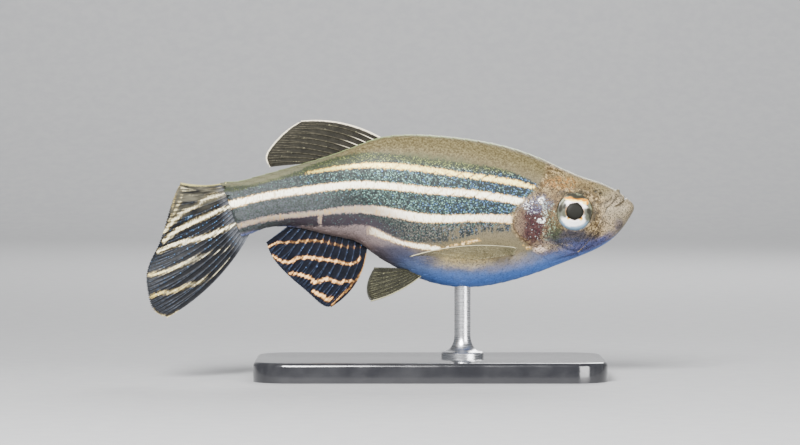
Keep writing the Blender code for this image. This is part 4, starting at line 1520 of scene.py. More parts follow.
@dataclass
class Fin:
    """A fin of branched, jointed rays in a thin membrane, made as one closed sheet."""

    name: str
    node: str
    surface: Surface
    rays: int
    length: float
    bands: tuple[Band, ...] = ()
    per_ray: int = 12
    rows: int = 54
    membrane: Pair = (0.12, 0.035)
    ray_height: Pair = (0.12, 0.035)
    splits: Pair = (0.42, 0.72)
    sink: float = 0.09
    joint: float = 0.22

    def ray_field(self, across: Numbers, share: Numbers) -> Numbers:
        """Find how near places lie to a ray or a branch of one.

        Args:
            across: the share across the rays.
            share: the share along them.

        Returns:
            1 on a ray and 0 far from all of them.
        """
        spacing = 1 / (self.rays - 1)
        local = (across / spacing + 0.5) % 1.0 - 0.5
        outer_ray = (across < 0.5 * spacing) | (across > 1 - 0.5 * spacing)
        first = np.where(outer_ray, 0.0, 0.25 * ease(self.splits[0], 1.0, share) ** 0.8)
        second = np.where(outer_ray, 0.0, 0.125 * ease(self.splits[1], 1.05, share))
        gap = np.min([np.abs(local - a * first - b * second) for a in (-1, 1) for b in (-1, 1)], axis=0)
        return np.exp(-(gap / (0.15 - 0.085 * share)) ** 2)

    def build(self, finish: bpy.types.Material) -> None:
        """Make the fin.

        Args:
            finish: its material.
        """
        columns = (self.rays - 1) * self.per_ray + 1
        shares = np.linspace(-self.sink, 1, self.rows)
        across, share = np.meshgrid(np.linspace(0, 1, columns), shares, indexing="ij")
        ray = self.ray_field(across, np.clip(share, 0, 1))
        share = share * (1 - 0.02 * (1 - ray) * ease(0.8, 1.0, share))
        middle = self.surface(across, share)
        step = 0.004
        a = self.surface(across + step, share) - self.surface(across - step, share)
        b = self.surface(across, share + step) - self.surface(across, share - step)
        run = np.clip(share, 0, 1)
        joints = 0.78 + 0.22 * np.abs(np.sin(np.pi * run * self.length / self.joint)) ** 0.5
        thick = between(self.membrane, ease(0.0, 0.35, run)) + ray * between(self.ray_height, run) * joints
        out = unit(np.cross(a, b)) * (thick / 2 + 0.008)[..., None]
        sheet = np.vstack([(middle + out).reshape(-1, 3), (middle - out).reshape(-1, 3)])
        fin = add_mesh(self.name, sheet, sheet_faces(columns, self.rows, True))
        bands = self.band_fields(middle[..., 0].ravel(), middle[..., 2].ravel())
        for name, values in (
            ("ray", ray), ("share", run), ("across", across), ("order", across * (self.rays - 1)),
            ("run", run * self.length), *zip(("band", "gold", "strength"), bands),
        ):
            set_attribute(fin, name, np.tile(values.ravel(), 2))
        up = 0.02 + 0.46 * (share.ravel() + self.sink) / (1 + self.sink)
        uv = np.column_stack([0.02 + 0.96 * across.ravel(), up])
        set_uv(fin, np.vstack([uv, uv + np.array([0, 0.5])]))
        put_in_place(fin, finish, Slot.FINS, self.node)

    def band_fields(self, x: Numbers, z: Numbers) -> tuple[Numbers, Numbers, Numbers]:
        """Measure places against the fin's pale bands.

        Args:
            x, z: the places in the side view.

        Returns:
            How deep inside a band each place lies, negative outside them, and how golden and
            strong the nearest band is there.
        """
        depth, gold, strength = np.full(x.shape, -1.0), np.zeros(x.shape), np.zeros(x.shape)
        for band in self.bands:
            gap, place = line_distance(x, z, smooth_path(band.line, 30))
            here = band.half * (0.55 + 0.45 * np.sin(np.pi * np.clip(place, 0.06, 0.94))) - np.abs(gap)
            nearer = here > depth
            depth = np.where(nearer, here, depth)
            gold = np.where(nearer, between(band.gold, place), gold)
            strength = np.where(nearer, between(band.strength, place), strength)
        return depth, gold, strength


@dataclass(frozen=True)
class FinGround:
    """What a fin is painted on: its node tree, noise and the numbers stored on its mesh."""

    g: Graph
    fine: Field
    medium: Field
    streak: Field
    long: Field
    ray: Field
    share: Field
    across: Field


@dataclass(frozen=True)
class FinFinish:
    """The finish of a fin: membrane, rays, pale bands and edge."""

    name: str
    membrane: Colour
    ray: Colour
    band: Colour = (0.9, 0.82, 0.6)
    band_low: Colour = (0.62, 0.5, 0.2)
    band_edge: Colour = (0.5, 0.29, 0.08)
    edge: Colour = (0.75, 0.68, 0.52)
    glint: Colour = (0.3, 0.5, 0.8)
    spark: Colour = (0.95, 0.95, 0.8)
    rare: float = 0.8
    soft: float = 0.07
    sparkle: float = 0.0
    root: Colour | None = None
    lobe: Colour | None = None
    clear: Pair = (0.62, 0.96)
    edge_width: float = 0.0
    lead_width: float = 0.0
    base_length: float = 0.0

    def build(self) -> bpy.types.Material:
        """Make the material from the fin's own attributes.

        Returns:
            The material.
        """
        material, g, shader = new_material(self.name)
        place = g.place()
        ray, share, across, order, run = map(g.attribute, ("ray", "share", "across", "order", "run"))
        on = FinGround(
            g, g.noise(place, 7.0, 3.0, 0.6), g.noise(place, 2.0, 2.0),
            g.noise(g.flat(order, run * 2.6), 1.5, 3.0, 0.6), g.noise(g.flat(order, run * 0.3), 0.9, 2.0),
            ray, share, across,
        )
        chance, hue, far = g.picks(g.flat(order * 3.2, run * 8.0), 1.0)
        on_ray = ray.ramp(0.5, 1.0) * on.streak.ramp(0.36, 0.66, 0.2, 1.0)
        tint = g.mix(self.glints(on, chance, far) * 0.85, self.sheet(on, on_ray), self.glint)
        if self.base_length:
            base = share.ramp(self.base_length, 0.0) * across.ramp(0.5, 0.3) * ray.ramp(0.7, 1.0)
            tint = g.mix(base, tint, self.edge)
        pale, band = self.pale(on, hue.ramp(0.55, 0.75) * far.ramp(0.6, 0.2))
        tint = g.mix(band, tint, pale)
        solid = on_ray | band
        jag = (on.fine - 0.5) * 0.03
        for width, where in ((self.edge_width, 1.0 - share), (self.lead_width, across)):
            if width:
                rim = (where + jag).ramp(width, width * 0.4)
                tint = g.mix(rim * 0.9, tint, self.edge)
                solid = solid | rim
        solid = solid.ramp(0.0, 1.0, *self.clear, Ramp.STRAIGHT) | share.ramp(0.12, 0.0)
        g.fill(shader, Base_Color=tint, Alpha=solid, Roughness=on.fine.ramp(0.2, 0.8, 0.4, 0.6),
               Normal=g.bump(on.fine, 0.3, 0.03), Specular_IOR_Level=0.1)
        return material

    def sheet(self, on: FinGround, on_ray: Field) -> Field:
        """Paint membrane and rays.

        Args:
            on: what the fin is painted on.
            on_ray: the mask of the rays.

        Returns:
            The colour.
        """
        coats = [(on.medium.ramp(0.3, 0.7), tuple(part * 0.5 for part in self.membrane)), (on_ray, self.ray)]
        if self.lobe:
            coats.append((on.across.ramp(0.32, 0.1) * on.long.ramp(0.3, 0.68), self.lobe))
        if self.root:
            coats.append((on.share.ramp(0.2, 0.01) * on.streak.ramp(0.35, 0.65, 0.55, 1.0), self.root))
        return on.g.coats(self.membrane, *coats)

    def glints(self, on: FinGround, chance: Field, far: Field) -> Field:
        """Mask the specks that glint on the rays.

        Args:
            on: what the fin is painted on.
            chance: each speck's random number.
            far: the distance from its middle.

        Returns:
            The mask.
        """
        glint = chance.ramp(self.rare, self.rare + 0.12) * far.ramp(0.6, 0.1)
        glint = glint * on.medium.ramp(0.38, 0.58) * on.share.ramp(0.9, 0.5, 0.1, 1.0)
        if self.lobe:
            glint = glint * (on.across.ramp(0.2, 0.32) * on.across.ramp(0.85, 0.6, 0.15, 1.0))
        return glint * on.ray.ramp(0.15, 0.6)

    def pale(self, on: FinGround, spark: Field) -> tuple[Field, Field]:
        """Paint the pale bands.

        Args:
            on: what the fin is painted on.
            spark: the mask of their bright specks.

        Returns:
            The colour and the mask of the bands.
        """
        g, ray, streak = on.g, on.ray, on.streak
        depth = g.attribute("band") + (on.fine - 0.5) * 0.3 + (ray - 0.5) * 0.1
        depth = depth + (streak - 0.5) * (0.2 + self.soft)
        strength = g.attribute("strength")
        broken = (1.0 - strength) * ray.ramp(0.75, 0.3)
        band = g.math("MULTIPLY", depth.ramp(-0.03 - self.soft, self.soft), strength - broken, clamp=True)
        full = g.coats(
            self.band,
            (g.attribute("gold"), self.band_low),
            (streak.ramp(0.56, 0.4, 0.0, 0.5), self.band_edge),
            (spark * self.sparkle, self.spark),
        )
        pale = g.mix(depth.ramp(-0.06, 0.1), self.band_edge, full)
        return g.mix(ray.ramp(0.3, 0.02, 0.0, 0.3), pale, self.membrane), band


@dataclass(frozen=True)
class FinSet:
    """All the fins, each on the surface of its solid."""

    dorsal_base: Pair = (-3.9, -10.1)
    dorsal_tips: Points = (
        (-10.3, 20.55), (-11.2, 20.0), (-12.0, 19.3), (-12.65, 18.55), (-13.08, 17.7), (-12.78, 16.9),
    )
    anal_base: Pair = (-5.05, -11.3)
    anal_tips: Points = (
        (-7.95, 5.65), (-8.7, 5.85), (-9.7, 6.75), (-10.6, 7.55), (-11.5, 8.4), (-12.5, 9.6), (-13.05, 10.9),
    )
    tail_root: tuple[Pair, Pair] = ((-16.45, 15.62), (-14.52, 11.3))
    tail_tips: Points = (
        (-20.0, 15.6), (-20.5, 14.4), (-20.95, 12.83), (-21.5, 10.95), (-22.1, 9.68), (-22.5, 8.4),
        (-22.4, 7.0), (-21.95, 5.6), (-20.9, 4.95),
    )
    tail_curl: Points = ((0.0, 5.4), (0.25, 2.9), (0.5, 0.6), (0.75, -0.7), (1.0, -1.0))
    pectoral_roots: tuple[Pair, Pair] = ((6.8, 10.5), (6.55, 9.95))
    pectoral_tips: Points = ((-1.65, 9.8), (-0.5, 9.9), (1.2, 9.75), (3.4, 9.55))
    pelvic_base: Pair = (-0.7, -1.9)
    pelvic_side: float = 0.95
    pelvic_tips: Points = ((-4.75, 6.2), (-5.05, 6.8), (-5.0, 7.7), (-4.5, 8.8))
    pelvic_spread: Pair = (1.3, 0.1)
    tail_bands: tuple[Band, ...] = (
        Band(((-18.29, 13.91), (-19.3, 13.42), (-20.22, 12.77), (-21.11, 11.71)), 0.16, (0.3, 0.5),
             (0.75, 0.9)),
        Band(((-15.7, 13.8), (-16.15, 13.7), (-17.3, 13.2), (-18.61, 12.62), (-19.43, 12.21), (-20.34, 11.64),
              (-21.14, 10.99)), 0.21, (0.0, 0.5), (1.0, 0.9)),
        Band(((-15.0, 12.45), (-15.38, 12.39), (-15.99, 12.16), (-16.9, 11.75), (-17.95, 11.35),
              (-19.25, 11.02), (-20.57, 10.62), (-21.53, 10.19)), 0.19, (0.0, 0.4), (1.0, 0.9)),
        Band(((-15.75, 10.62), (-16.51, 10.3), (-17.31, 10.12), (-18.1, 9.88), (-18.9, 9.5),
              (-19.88, 9.1), (-20.92, 8.68), (-22.21, 8.36)), 0.17, (0.0, 0.8), (0.35, 1.0)),
        Band(((-15.9, 9.6), (-16.51, 8.91), (-17.3, 8.36), (-18.12, 7.88), (-18.89, 7.64), (-19.72, 7.32),
              (-20.51, 7.08), (-21.46, 6.91), (-22.05, 6.68)), 0.15, (0.3, 1.0), (0.3, 0.95)),
        Band(((-21.95, 5.66), (-21.4, 5.19), (-20.68, 5.07), (-19.97, 5.51)), 0.11, (0.6, 0.6), (0.9, 0.8)),
        Band(((-19.76, 15.57), (-20.17, 15.23), (-20.39, 14.52), (-20.5, 13.62)), 0.08, (0.6, 0.9),
             (0.8, 0.7)),
        Band(((-19.75, 15.2), (-19.33, 15.03), (-18.5, 14.8)), 0.3, (0.4, 0.4), (0.6, 0.1)),
        Band(((-19.75, 14.6), (-19.98, 13.97), (-20.2, 13.5), (-20.75, 12.6)), 0.1, (0.5, 0.8), (0.55, 0.65)),
        Band(((-16.0, 14.9), (-16.9, 14.65), (-17.7, 14.4), (-18.29, 13.95)), 0.2, (0.1, 0.3), (0.85, 0.8)),
        Band(((-16.2, 15.5), (-17.2, 15.35), (-18.3, 15.3)), 0.1, (0.7, 0.9), (0.5, 0.4)),
    )
    anal_bands: tuple[Band, ...] = (
        Band(((-12.93, 10.53), (-12.39, 10.81), (-11.43, 10.9), (-10.48, 10.94), (-9.14, 11.02),
              (-7.6, 10.72), (-6.65, 10.52), (-5.66, 10.46)), 0.1, (0.2, 0.9), (0.9, 0.5)),
        Band(((-12.49, 9.84), (-12.02, 9.5), (-11.25, 9.33), (-10.49, 9.63), (-8.94, 9.57),
              (-7.42, 9.32), (-6.05, 9.2), (-5.58, 9.59)), 0.14),
        Band(((-11.16, 8.42), (-10.59, 8.37), (-10.02, 8.22), (-9.53, 8.01), (-9.23, 7.68),
              (-8.56, 7.9), (-7.99, 7.87), (-7.42, 7.66), (-6.84, 7.76), (-6.06, 7.74)), 0.14),
        Band(((-9.34, 6.94), (-8.96, 6.75), (-8.57, 6.54), (-8.19, 6.26), (-7.81, 6.44)), 0.15, (0.2, 0.5)),
        Band(((-5.11, 9.87), (-5.29, 9.0), (-5.67, 8.18), (-6.06, 7.74), (-6.35, 7.3),
              (-6.94, 6.73), (-7.42, 6.25), (-7.85, 5.79)), 0.075, (1.0, 0.6), (0.6, 1.0)),
    )
    finishes: tuple[FinFinish, ...] = (
        FinFinish("tail_fin_membrane", (0.006, 0.0065, 0.008), (0.034, 0.041, 0.055), (1.0, 0.93, 0.66),
                  (0.42, 0.31, 0.05), (0.24, 0.18, 0.07), (0.42, 0.37, 0.15), (0.14, 0.4, 0.8), rare=0.6,
                  soft=0.12, sparkle=0.6, root=(0.085, 0.09, 0.1), lobe=(0.1, 0.092, 0.066),
                  clear=(0.97, 1.0), lead_width=0.02),
        FinFinish("anal_fin_membrane", (0.0035, 0.0045, 0.009), (0.027, 0.038, 0.068), (0.95, 0.56, 0.23),
                  (0.5, 0.28, 0.08), (0.32, 0.13, 0.02), clear=(0.97, 1.0), glint=(0.12, 0.2, 0.4)),
        FinFinish("dorsal_fin_membrane", (0.0155, 0.014, 0.0095), (0.06, 0.054, 0.036),
                  glint=(0.25, 0.24, 0.14), edge=(0.85, 0.76, 0.58), clear=(0.93, 1.0), edge_width=0.04,
                  lead_width=0.035, base_length=0.26),
        FinFinish("pelvic_fin_membrane", (0.018, 0.0175, 0.0105), (0.1, 0.097, 0.054),
                  glint=(0.3, 0.28, 0.15), edge=(0.3, 0.28, 0.16), clear=(0.7, 0.95), lead_width=0.04),
        FinFinish("pectoral_fin_membrane", (0.16, 0.14, 0.075), (0.45, 0.41, 0.26), glint=(0.6, 0.55, 0.35),
                  edge=(0.48, 0.44, 0.3), clear=(0.3, 0.85), lead_width=0.05),
    )

    def dorsal(self, across: Numbers, share: Numbers) -> Numbers:
        """Lay out the middle of the fin of the back.

        Args:
            across: the share across its rays.
            share: the share along them.

        Returns:
            The points.
        """
        x = between(self.dorsal_base, across)
        px, pz = bent_ray((x, BODY.back_z(x)), self.dorsal_tips, across, -0.08 * (1 - across), share)
        return np.stack([px, BODY.middle_y(px, pz) + 0.5 * share ** 2, pz], axis=-1)

    def anal(self, across: Numbers, share: Numbers) -> Numbers:
        """Lay out the middle of the fin behind the vent.

        Args:
            across: the share across its rays.
            share: the share along them.

        Returns:
            The points.
        """
        x = between(self.anal_base, across)
        px, pz = bent_ray((x, BODY.belly_z(x)), self.anal_tips, across, 0.13 * (1 - across), share)
        return np.stack([px, BODY.middle_y(px, pz) + 0.4 * share ** 2, pz], axis=-1)

    def tail(self, across: Numbers, share: Numbers) -> Numbers:
        """Lay out the middle of the tail fin, whose upper lobe curls away.

        Args:
            across: the share across its rays.
            share: the share along them.

        Returns:
            The points.
        """
        root = tuple(between(ends, across) for ends in zip(*self.tail_root))
        px, pz = bent_ray(root, self.tail_tips, across, 0.04 + 0.03 * across, share)
        curl = Curve(self.tail_curl)(across) * np.abs(share) ** 1.6 * np.sign(share)
        return np.stack([px, BODY.middle_y(*root) + curl, pz], axis=-1)

    def pectoral(self, side: Side, across: Numbers, share: Numbers) -> Numbers:
        """Lay out the middle of a fin of the breast.

        Args:
            side: its flank.
            across: the share across its rays.
            share: the share along them.

        Returns:
            The points.
        """
        root = tuple(between(ends, across) for ends in zip(*self.pectoral_roots))
        px, pz = bent_ray(root, self.pectoral_tips, across, -0.06 * (1 - across), share)
        off = -0.1 + 0.62 * ease(-0.05, 0.22, share) + (1 - across) * 0.9 * share
        return np.stack([px, BODY.flank_y(px, pz, side.value) + side.value * off, pz], axis=-1)

    def pelvic(self, side: Side, across: Numbers, share: Numbers) -> Numbers:
        """Lay out the middle of a fin of the belly.

        Args:
            side: its flank.
            across: the share across its rays.
            share: the share along them.

        Returns:
            The points.
        """
        x = between(self.pelvic_base, across)
        widest, _, below, half = BODY.section(x)
        hang = (1 - (self.pelvic_side / half) ** 2) ** (1 / BODY.lower_fullness) * below
        px, pz = bent_ray((x, widest - hang), self.pelvic_tips, across, 0.06 * (1 - across), share)
        out = self.pelvic_side + between(self.pelvic_spread, across) * share
        return np.stack([px, BODY.spine_y(px) + side.value * out - BODY.roll * (pz - widest), pz], axis=-1)

    def build(self) -> None:
        """Make every fin with its finish."""
        tail, anal, dorsal, pelvic, pectoral = (finish.build() for finish in self.finishes)
        Fin("tail_fin_rays", "tail_fin", self.tail, 19, 8.5, self.tail_bands).build(tail)
        Fin("anal_fin_rays", "anal_fin", self.anal, 14, 5.2, self.anal_bands).build(anal)
        Fin("dorsal_fin_rays", "dorsal_fin", self.dorsal, 11, 6.0, per_ray=14).build(dorsal)
        for side in Side:
            for part, surface, rays, length, per_ray, rows, finish in (
                ("pectoral", self.pectoral, 11, 8.0, 8, 44, pectoral),
                ("pelvic", self.pelvic, 8, 4.5, 10, 40, pelvic),
            ):
                Fin(f"{part}_rays_{side.word}", f"{part}_fin_{side.word}", partial(surface, side), rays,
                    length, per_ray=per_ray, rows=rows).build(finish)


@dataclass
class Eye:
    """One eye: a dark lens in a silver iris under a clear coat."""

    side: Side
    segments: int = 96
    rings: int = 72

    def build(self, finish: bpy.types.Material) -> None:
        """Make the eyeball from a sphere whose front is shaped into iris and lens.

        Args:
            finish: its material.
        """
        bpy.ops.object.select_all(action="DESELECT")
        bpy.ops.mesh.primitive_uv_sphere_add(segments=self.segments, ring_count=self.rings, radius=1.0)
        eye = bpy.context.object
        eye.name = f"eyeball_{self.side.word}"
        sign = self.side.value
        dx, dz, height = (point_array(eye.data) * np.array([EYE.radius, EYE.radius, 1.0])).T
        front = height >= 0
        away = np.hypot(dx, dz - EYE.pupil_rise)
        dish = ease(EYE.iris + 0.05, EYE.iris - 0.12, away) * ease(EYE.pupil - 0.05, EYE.pupil + 0.35, away)
        lens = ease(EYE.pupil + 0.02, EYE.pupil - 0.25, away) - np.exp(-((away - EYE.pupil) / 0.05) ** 2)
        depth = np.where(front, EYE.bulge * height + 0.05 * lens - 0.07 * dish, EYE.depth * height)
        y = BODY.middle_y(np.array(EYE.x), np.array(EYE.z)) + sign * (EYE.centre + depth)
        y = y + sign * EYE.turn[0] * dx + (sign * EYE.turn[1] - BODY.roll) * dz
        placed = np.column_stack([EYE.x + dx, y, EYE.z + dz]) * MM
        eye.data.vertices.foreach_set("co", placed.ravel())
        set_attribute(eye, "from_axis", np.where(front, away, 3.0))
        bpy.ops.object.mode_set(mode="EDIT")
        turn_outward()
        eye.data.shade_smooth()
        put_in_place(eye, finish, Slot.EYES, f"eye_{self.side.word}")


@dataclass(frozen=True)
class EyeFinish:
    """The finish of an eye."""

    name: str = "eye_silver"
    silver: Colour = (0.97, 0.96, 0.93)
    yellow: Colour = (0.95, 0.7, 0.16)
    gold: Colour = (0.46, 0.17, 0.01)
    ring: Colour = (0.13, 0.135, 0.085)
    dusk: Colour = (0.02, 0.019, 0.014)
    pupil: Colour = (0.006, 0.006, 0.004)
    # painted shading: blue on the lower part of the eye's outer ring
    rim_blue: Colour = (0.13, 0.21, 0.3)
    shade: Colour = (0.062, 0.064, 0.044)
    shade_marks: tuple[tuple[float, ...], ...] = (
        (-1.02, 0.18, 0.46, 0.62), (-0.78, -0.12, 0.2, 0.3), (0.98, -0.02, 0.36, 0.36),
        (1.0, -0.45, 0.22, 0.26),
    )
    dark_marks: tuple[tuple[float, ...], ...] = (
        (-1.14, 0.3, 0.2, 0.3), (-0.82, 0.46, 0.14, 0.2), (1.16, 0.04, 0.24, 0.24), (1.28, -0.35, 0.16, 0.3),
        (0.42, 1.22, 0.72, 0.17), (-0.25, 1.36, 0.4, 0.12),
    )
    yellow_marks: tuple[tuple[float, ...], ...] = (
        (-0.45, 1.06, 0.34, 0.13), (0.0, 0.98, 0.4, 0.13), (0.45, 0.92, 0.4, 0.13), (0.85, 0.76, 0.24, 0.14),
        (0.5, -0.5, 0.17, 0.18), (-0.5, -0.46, 0.14, 0.12),
    )
    gold_marks: tuple[tuple[float, ...], ...] = (
        (-0.5, 1.15, 0.32, 0.07), (-0.05, 1.08, 0.4, 0.07), (0.45, 1.0, 0.4, 0.08), (0.8, 0.9, 0.26, 0.08),
        (1.02, 0.72, 0.12, 0.12), (0.53, -0.45, 0.1, 0.12), (-0.52, -0.42, 0.08, 0.08),
    )

    def build(self) -> bpy.types.Material:
        """Make the material from the eye's own attributes.

        Returns:
            The material.
        """
        material, g, shader = new_material(self.name)
        place = g.place()
        fine = g.noise(place, 5.0, 3.0, 0.6)
        moved = g.warp(place, 2.2, 0.28)
        away = g.attribute("from_axis")
        # mask of the painted blue shading on the lower part of the outer ring
        low = g.spot(place, (EYE.x - 0.1, EYE.z - 1.1), (1.2, 0.8), 0.5) * away.ramp(1.1, 1.2)
        marks = [
            (g.spot(moved, (EYE.x + x, EYE.z + z), (width, height), 0.7) * strength, tint)
            for places, tint, strength in (
                (self.yellow_marks, self.yellow, 1.0), (self.gold_marks, self.gold, 1.0),
                (self.shade_marks, self.shade, 0.97), (self.dark_marks, self.dusk, 0.97),
            )
            for x, z, width, height in places
        ]
        lens = g.spot(moved, (EYE.x, EYE.z + EYE.pupil_rise), (EYE.pupil, EYE.pupil), 0.1)
        colour = g.coats(
            self.ring,
            (fine.ramp(0.42, 0.6), tuple(part * 0.45 for part in self.ring)),
            (low * 0.85, self.rim_blue),
            (g.spot(moved, (EYE.x - 0.04, EYE.z - 0.04), (1.13, 1.13), 0.16), self.silver),
            *marks,
            (away.ramp(EYE.pupil + 0.1, EYE.pupil + 0.03, 0.0, 0.3), self.gold),
            (lens, self.pupil),
        )
        g.fill(shader, Base_Color=colour, Roughness=lens.ramp(0.0, 1.0, 0.35, 0.6, Ramp.STRAIGHT),
               Normal=g.bump(fine, 0.2, 0.03), Coat_Weight=lens.ramp(0.0, 1.0, 0.1, 0.0, Ramp.STRAIGHT),
               Coat_Roughness=0.08, Specular_IOR_Level=0.15)
        return material


@dataclass
class Barbel:
    """One barbel, a soft feeler that lies back over the skin."""

    name: str
    side: Side
    line: Points
    root_radius: float = 0.085
    tip_radius: float = 0.03
    points: int = 16

    def build(self, finish: bpy.types.Material) -> None:
        """Make the barbel as a curve with a round bevel, turned into a mesh.

        Args:
            finish: its material.
        """
        curve = bpy.data.curves.new(f"{self.name}_feeler_{self.side.word}", "CURVE")
        curve.dimensions = "3D"
        curve.bevel_depth = MM
        curve.bevel_resolution = 4
        curve.use_fill_caps = True
        spline = curve.splines.new("POLY")
        spline.points.add(self.points - 1)
        for i, (x, z) in enumerate(smooth_path(self.line, self.points)):
            share = i / (self.points - 1)
            out = -0.06 + 0.3 * float(ease(0.0, 0.25, np.array(share))) + 0.1 * share
            y = float(BODY.flank_y(np.array(x), np.array(z), self.side.value)) + self.side.value * out
            spline.points[i].co = (x * MM, y * MM, z * MM, 1.0)
            spline.points[i].radius = between((self.root_radius, self.tip_radius), share)
        barbel = bpy.data.objects.new(curve.name, curve)
        bpy.context.scene.collection.objects.link(barbel)
        pick_only(barbel)
        bpy.ops.object.convert(target="MESH")
        barbel = bpy.context.object
        barbel.data.shade_smooth()
        places = point_array(barbel.data) / MM
        mark_fish(barbel, places, np.full(len(places), 0.6))
        put_in_place(barbel, finish, Slot.FINS, f"{self.name}_{self.side.word}")


@dataclass
class Stand:
    """The plain display stand: a black base and a slim steel rod."""

    length: float = 28.0
    width: float = 16.0
    height: float = 1.6
    corner: float = 3.0
    edge: float = 0.35
    rod_x: float = 2.6
    rod_radius: float = 0.65
    rod_sink: float = 0.25
    rod_sides: int = 64
    foot_radius: float = 1.7
    foot_height: float = 0.45
    neck_height: float = 1.3
    neck_steps: int = 8

    def build_base(self) -> None:
        """Make the base from a cube with round corners and eased top edges."""
        bpy.ops.object.select_all(action="DESELECT")
        bpy.ops.mesh.primitive_cube_add(size=1.0, location=(0, 0, 0))
        base = bpy.context.object
        base.name = "stand_plate"
        high = self.height * MM
        bpy.ops.object.mode_set(mode="EDIT")
        bpy.ops.mesh.select_mode(type="EDGE")
        bpy.ops.mesh.select_all(action="SELECT")
        bpy.ops.transform.resize(value=(self.length * MM, self.width * MM, high))
        bpy.ops.transform.translate(value=(0, 0, high / 2))
        self.select_edges(base, lambda a, b: abs(a.z - b.z) > high / 2)
        bpy.ops.mesh.bevel(offset=self.corner * MM, segments=16, affect="EDGES")
        self.select_edges(base, lambda a, b: min(a.z, b.z) > high - 1e-6)
        bpy.ops.mesh.bevel(offset=self.edge * MM, segments=5, affect="EDGES")
        bpy.ops.object.mode_set(mode="OBJECT")
        bpy.ops.object.shade_smooth_by_angle(angle=math.radians(35))
        put_in_place(base, self.base_finish(), Slot.BASE, "stand_base")

    def build_rod(self) -> None:
        """Make the rod from a disc that is extruded and drawn in, foot first."""
        high = float(BODY.belly_z(np.array(self.rod_x))) + self.rod_sink
        centre_y = float(BODY.middle_y(np.array(self.rod_x), np.array(high)))
        middle = (self.rod_x * MM, centre_y * MM)
        bpy.ops.object.select_all(action="DESELECT")
        bpy.ops.mesh.primitive_circle_add(vertices=self.rod_sides, radius=self.foot_radius * MM,
                                          fill_type="NGON", location=(*middle, self.height * MM))
        rod = bpy.context.object
        rod.name = "stand_pin"
        bpy.ops.object.transform_apply(location=True, rotation=False, scale=False)
        bpy.ops.object.mode_set(mode="EDIT")
        bpy.ops.mesh.select_all(action="SELECT")
        radius, level = self.foot_radius, self.height
        for next_radius, next_level in (*self.foot_profile(), (self.rod_radius, high)):
            rise = (0, 0, (next_level - level) * MM)
            bpy.ops.mesh.extrude_region_move(TRANSFORM_OT_translate={"value": rise})
            shrink = next_radius / radius
            bpy.ops.transform.resize(value=(shrink, shrink, 1.0), center_override=(*middle, next_level * MM))
            radius, level = next_radius, next_level
        turn_outward()
        bpy.ops.object.shade_smooth_by_angle(angle=math.radians(35))
        put_in_place(rod, self.rod_finish(), Slot.ROD, "stand_rod")

    def foot_profile(self) -> list[Pair]:
        """Draw the foot from its edge up to the rod.

        Returns:
            The radius and height of each step.
        """
        top, neck = self.height + 1.08 * self.foot_height, 0.9 * self.foot_radius
        steps = [(self.foot_radius, self.height + 0.8 * self.foot_height),
                 (0.96 * self.foot_radius, self.height + self.foot_height), (neck, top)]
        for k in range(1, self.neck_steps + 1):
            turn = math.pi / 2 * k / self.neck_steps
            steps.append((between((neck, self.rod_radius), math.sin(turn)),
                          top + self.neck_height * (1 - math.cos(turn))))
        return steps

    @staticmethod
    def select_edges(obj: bpy.types.Object, wanted: Callable[[Vector, Vector], bool]) -> None:
        """Select in edit mode only the edges whose two ends pass a test.

        Args:
            obj: the object.
            wanted: the test.
        """
        body = bmesh.from_edit_mesh(obj.data)
        for part in (*body.verts, *body.edges, *body.faces):
            part.select = False
        for edge in body.edges:
            edge.select = wanted(edge.verts[0].co, edge.verts[1].co)
        body.select_flush_mode()
        bmesh.update_edit_mesh(obj.data)

    @staticmethod
    def base_finish() -> bpy.types.Material:
        """Make polished black acrylic with faint wiping marks.

        Returns:
            The material.
        """
        material, g, shader = new_material("black_acrylic")
        wipe = g.noise(g.place(1.0, 6.0, 1.0), 0.5, 4.0)
        g.fill(shader, Base_Color=g.mix(wipe.ramp(0.3, 0.7), (0.012, 0.012, 0.014), (0.02, 0.02, 0.022)),
               Roughness=wipe.ramp(0.35, 0.75, 0.12, 0.24), Coat_Weight=0.5, Coat_Roughness=0.05)
        return material

    @staticmethod
    def rod_finish() -> bpy.types.Material:
        """Make satin steel with fine turning marks round the rod.

        Returns:
            The material.
        """
        material, g, shader = new_material("satin_steel")
        marks = g.noise(g.place(0.4, 0.4, 14.0), 2.0, 3.0)
        g.fill(shader, Base_Color=g.mix(marks.ramp(0.3, 0.7), (0.5, 0.5, 0.51), (0.66, 0.66, 0.67)),
               Metallic=1.0, Roughness=marks.ramp(0.3, 0.7, 0.22, 0.34), Normal=g.bump(marks, 0.15, 0.02))
        return material


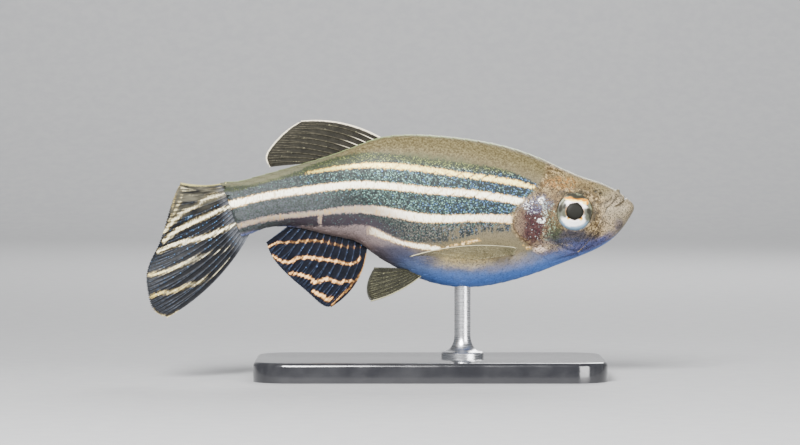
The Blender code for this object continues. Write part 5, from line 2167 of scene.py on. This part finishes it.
@dataclass
class Studio:
    """Floor, light and camera."""

    target: tuple[float, float, float] = (-2.4, 0.0, 12.42)
    elevation: float = 1.5
    lens: float = 200.0
    field_width: float = 64.0
    sensor: float = 36.0
    floor_side: float = 600.0
    floor_front: float = -420.0
    floor_turn: float = 370.0
    turn_radius: float = 120.0
    turn_steps: int = 12
    wall_top: float = 700.0
    surround: Colour = (0.75, 0.8, 0.88)
    surround_light: float = 0.35

    def build_floor(self) -> None:
        """Make the pale floor, which turns up into a backdrop behind."""
        profile = [(self.floor_front, 0.0), (self.floor_turn, 0.0)]
        for k in range(1, self.turn_steps + 1):
            turn = math.pi / 2 * k / self.turn_steps
            profile.append((self.floor_turn + self.turn_radius * math.sin(turn),
                            self.turn_radius * (1 - math.cos(turn))))
        profile.append((self.floor_turn + self.turn_radius, self.wall_top))
        points = [(x, y, z) for y, z in profile for x in (-self.floor_side, self.floor_side)]
        floor = add_mesh("floor", np.array(points), grid_faces(len(profile), 2, 0, True))
        material, g, shader = new_material("pale_paper")
        grain = g.noise(g.place(), 0.6, 3.0).ramp(0.3, 0.7)
        g.fill(shader, Base_Color=g.mix(grain, (0.27, 0.27, 0.275), (0.29, 0.29, 0.29)), Roughness=0.8)
        floor.data.materials.append(material)

    def build_light(self) -> None:
        """Place three soft lights round the model, one on the backdrop, and a dim surround."""
        for name, place, size, power, at in (
            ("key", (-70.0, -230.0, 170.0), 110.0, 3.6, self.target),
            ("fill", (190.0, -190.0, 60.0), 140.0, 1.05, self.target),
            ("back", (60.0, 230.0, 160.0), 120.0, 0.6, self.target),
            ("wall", (0.0, 260.0, 260.0), 160.0, 1.4, (0.0, 490.0, 90.0)),
        ):
            light = bpy.data.lights.new(name, "AREA")
            light.size = size * MM
            light.energy = power
            self.aim(light, Vector(place), Vector(at))
        world = bpy.data.worlds.new("surround")
        world.use_nodes = True
        Graph(world.node_tree).fill(world.node_tree.nodes["Background"], Color=self.surround,
                                    Strength=self.surround_light)
        bpy.context.scene.world = world

    def build_camera(self) -> None:
        """Place the camera as the photo was taken, level with the flank and a little above it."""
        camera = bpy.data.cameras.new("camera")
        camera.lens = self.lens
        camera.sensor_width = self.sensor
        camera.clip_start = 0.001
        rise = math.radians(self.elevation)
        away = Vector((0.0, -math.cos(rise), math.sin(rise))) * self.field_width * self.lens / self.sensor
        bpy.context.scene.camera = self.aim(camera, Vector(self.target) + away, Vector(self.target))

    @staticmethod
    def aim(data: bpy.types.Light | bpy.types.Camera, place: Vector, at: Vector) -> bpy.types.Object:
        """Put a light or camera somewhere, facing a point.

        Args:
            data: the light or camera.
            place: where it stands.
            at: the point.

        Returns:
            Its object.
        """
        holder = bpy.data.objects.new(data.name, data)
        bpy.context.scene.collection.objects.link(holder)
        holder.location = place * MM
        holder.rotation_euler = (at - place).to_track_quat("-Z", "Y").to_euler()
        return holder


def main() -> None:
    """Build every piece of the model and the studio around it."""
    logging.basicConfig(level=logging.INFO, format="%(name)s %(message)s")
    bpy.ops.object.select_all(action="DESELECT")
    studio = Studio()
    studio.build_camera()
    studio.build_floor()
    studio.build_light()
    marks = FishMarkings().build()
    hide = SkinFinish("fish_skin").build(marks)
    Skin().build(hide)
    coat = SkinFinish("fish_scales", "scale_edge").build(marks)
    Scales(Side.RIGHT, 23).build(coat)
    Scales(Side.LEFT, 11).build(coat)
    FinSet().build()
    eye = EyeFinish().build()
    for side in Side:
        Eye(side).build(eye)
        for name, line in (
            ("snout_barbel", ((14.5, 14.55), (14.2, 14.33), (13.8, 14.18), (13.35, 14.1))),
            ("mouth_barbel", ((13.8, 12.95), (13.4, 12.2), (12.85, 11.35), (12.3, 10.6), (11.8, 10.1))),
        ):
            Barbel(name, side, line).build(hide)
    stand = Stand()
    stand.build_base()
    stand.build_rod()


if __name__ == "__main__":
    main()
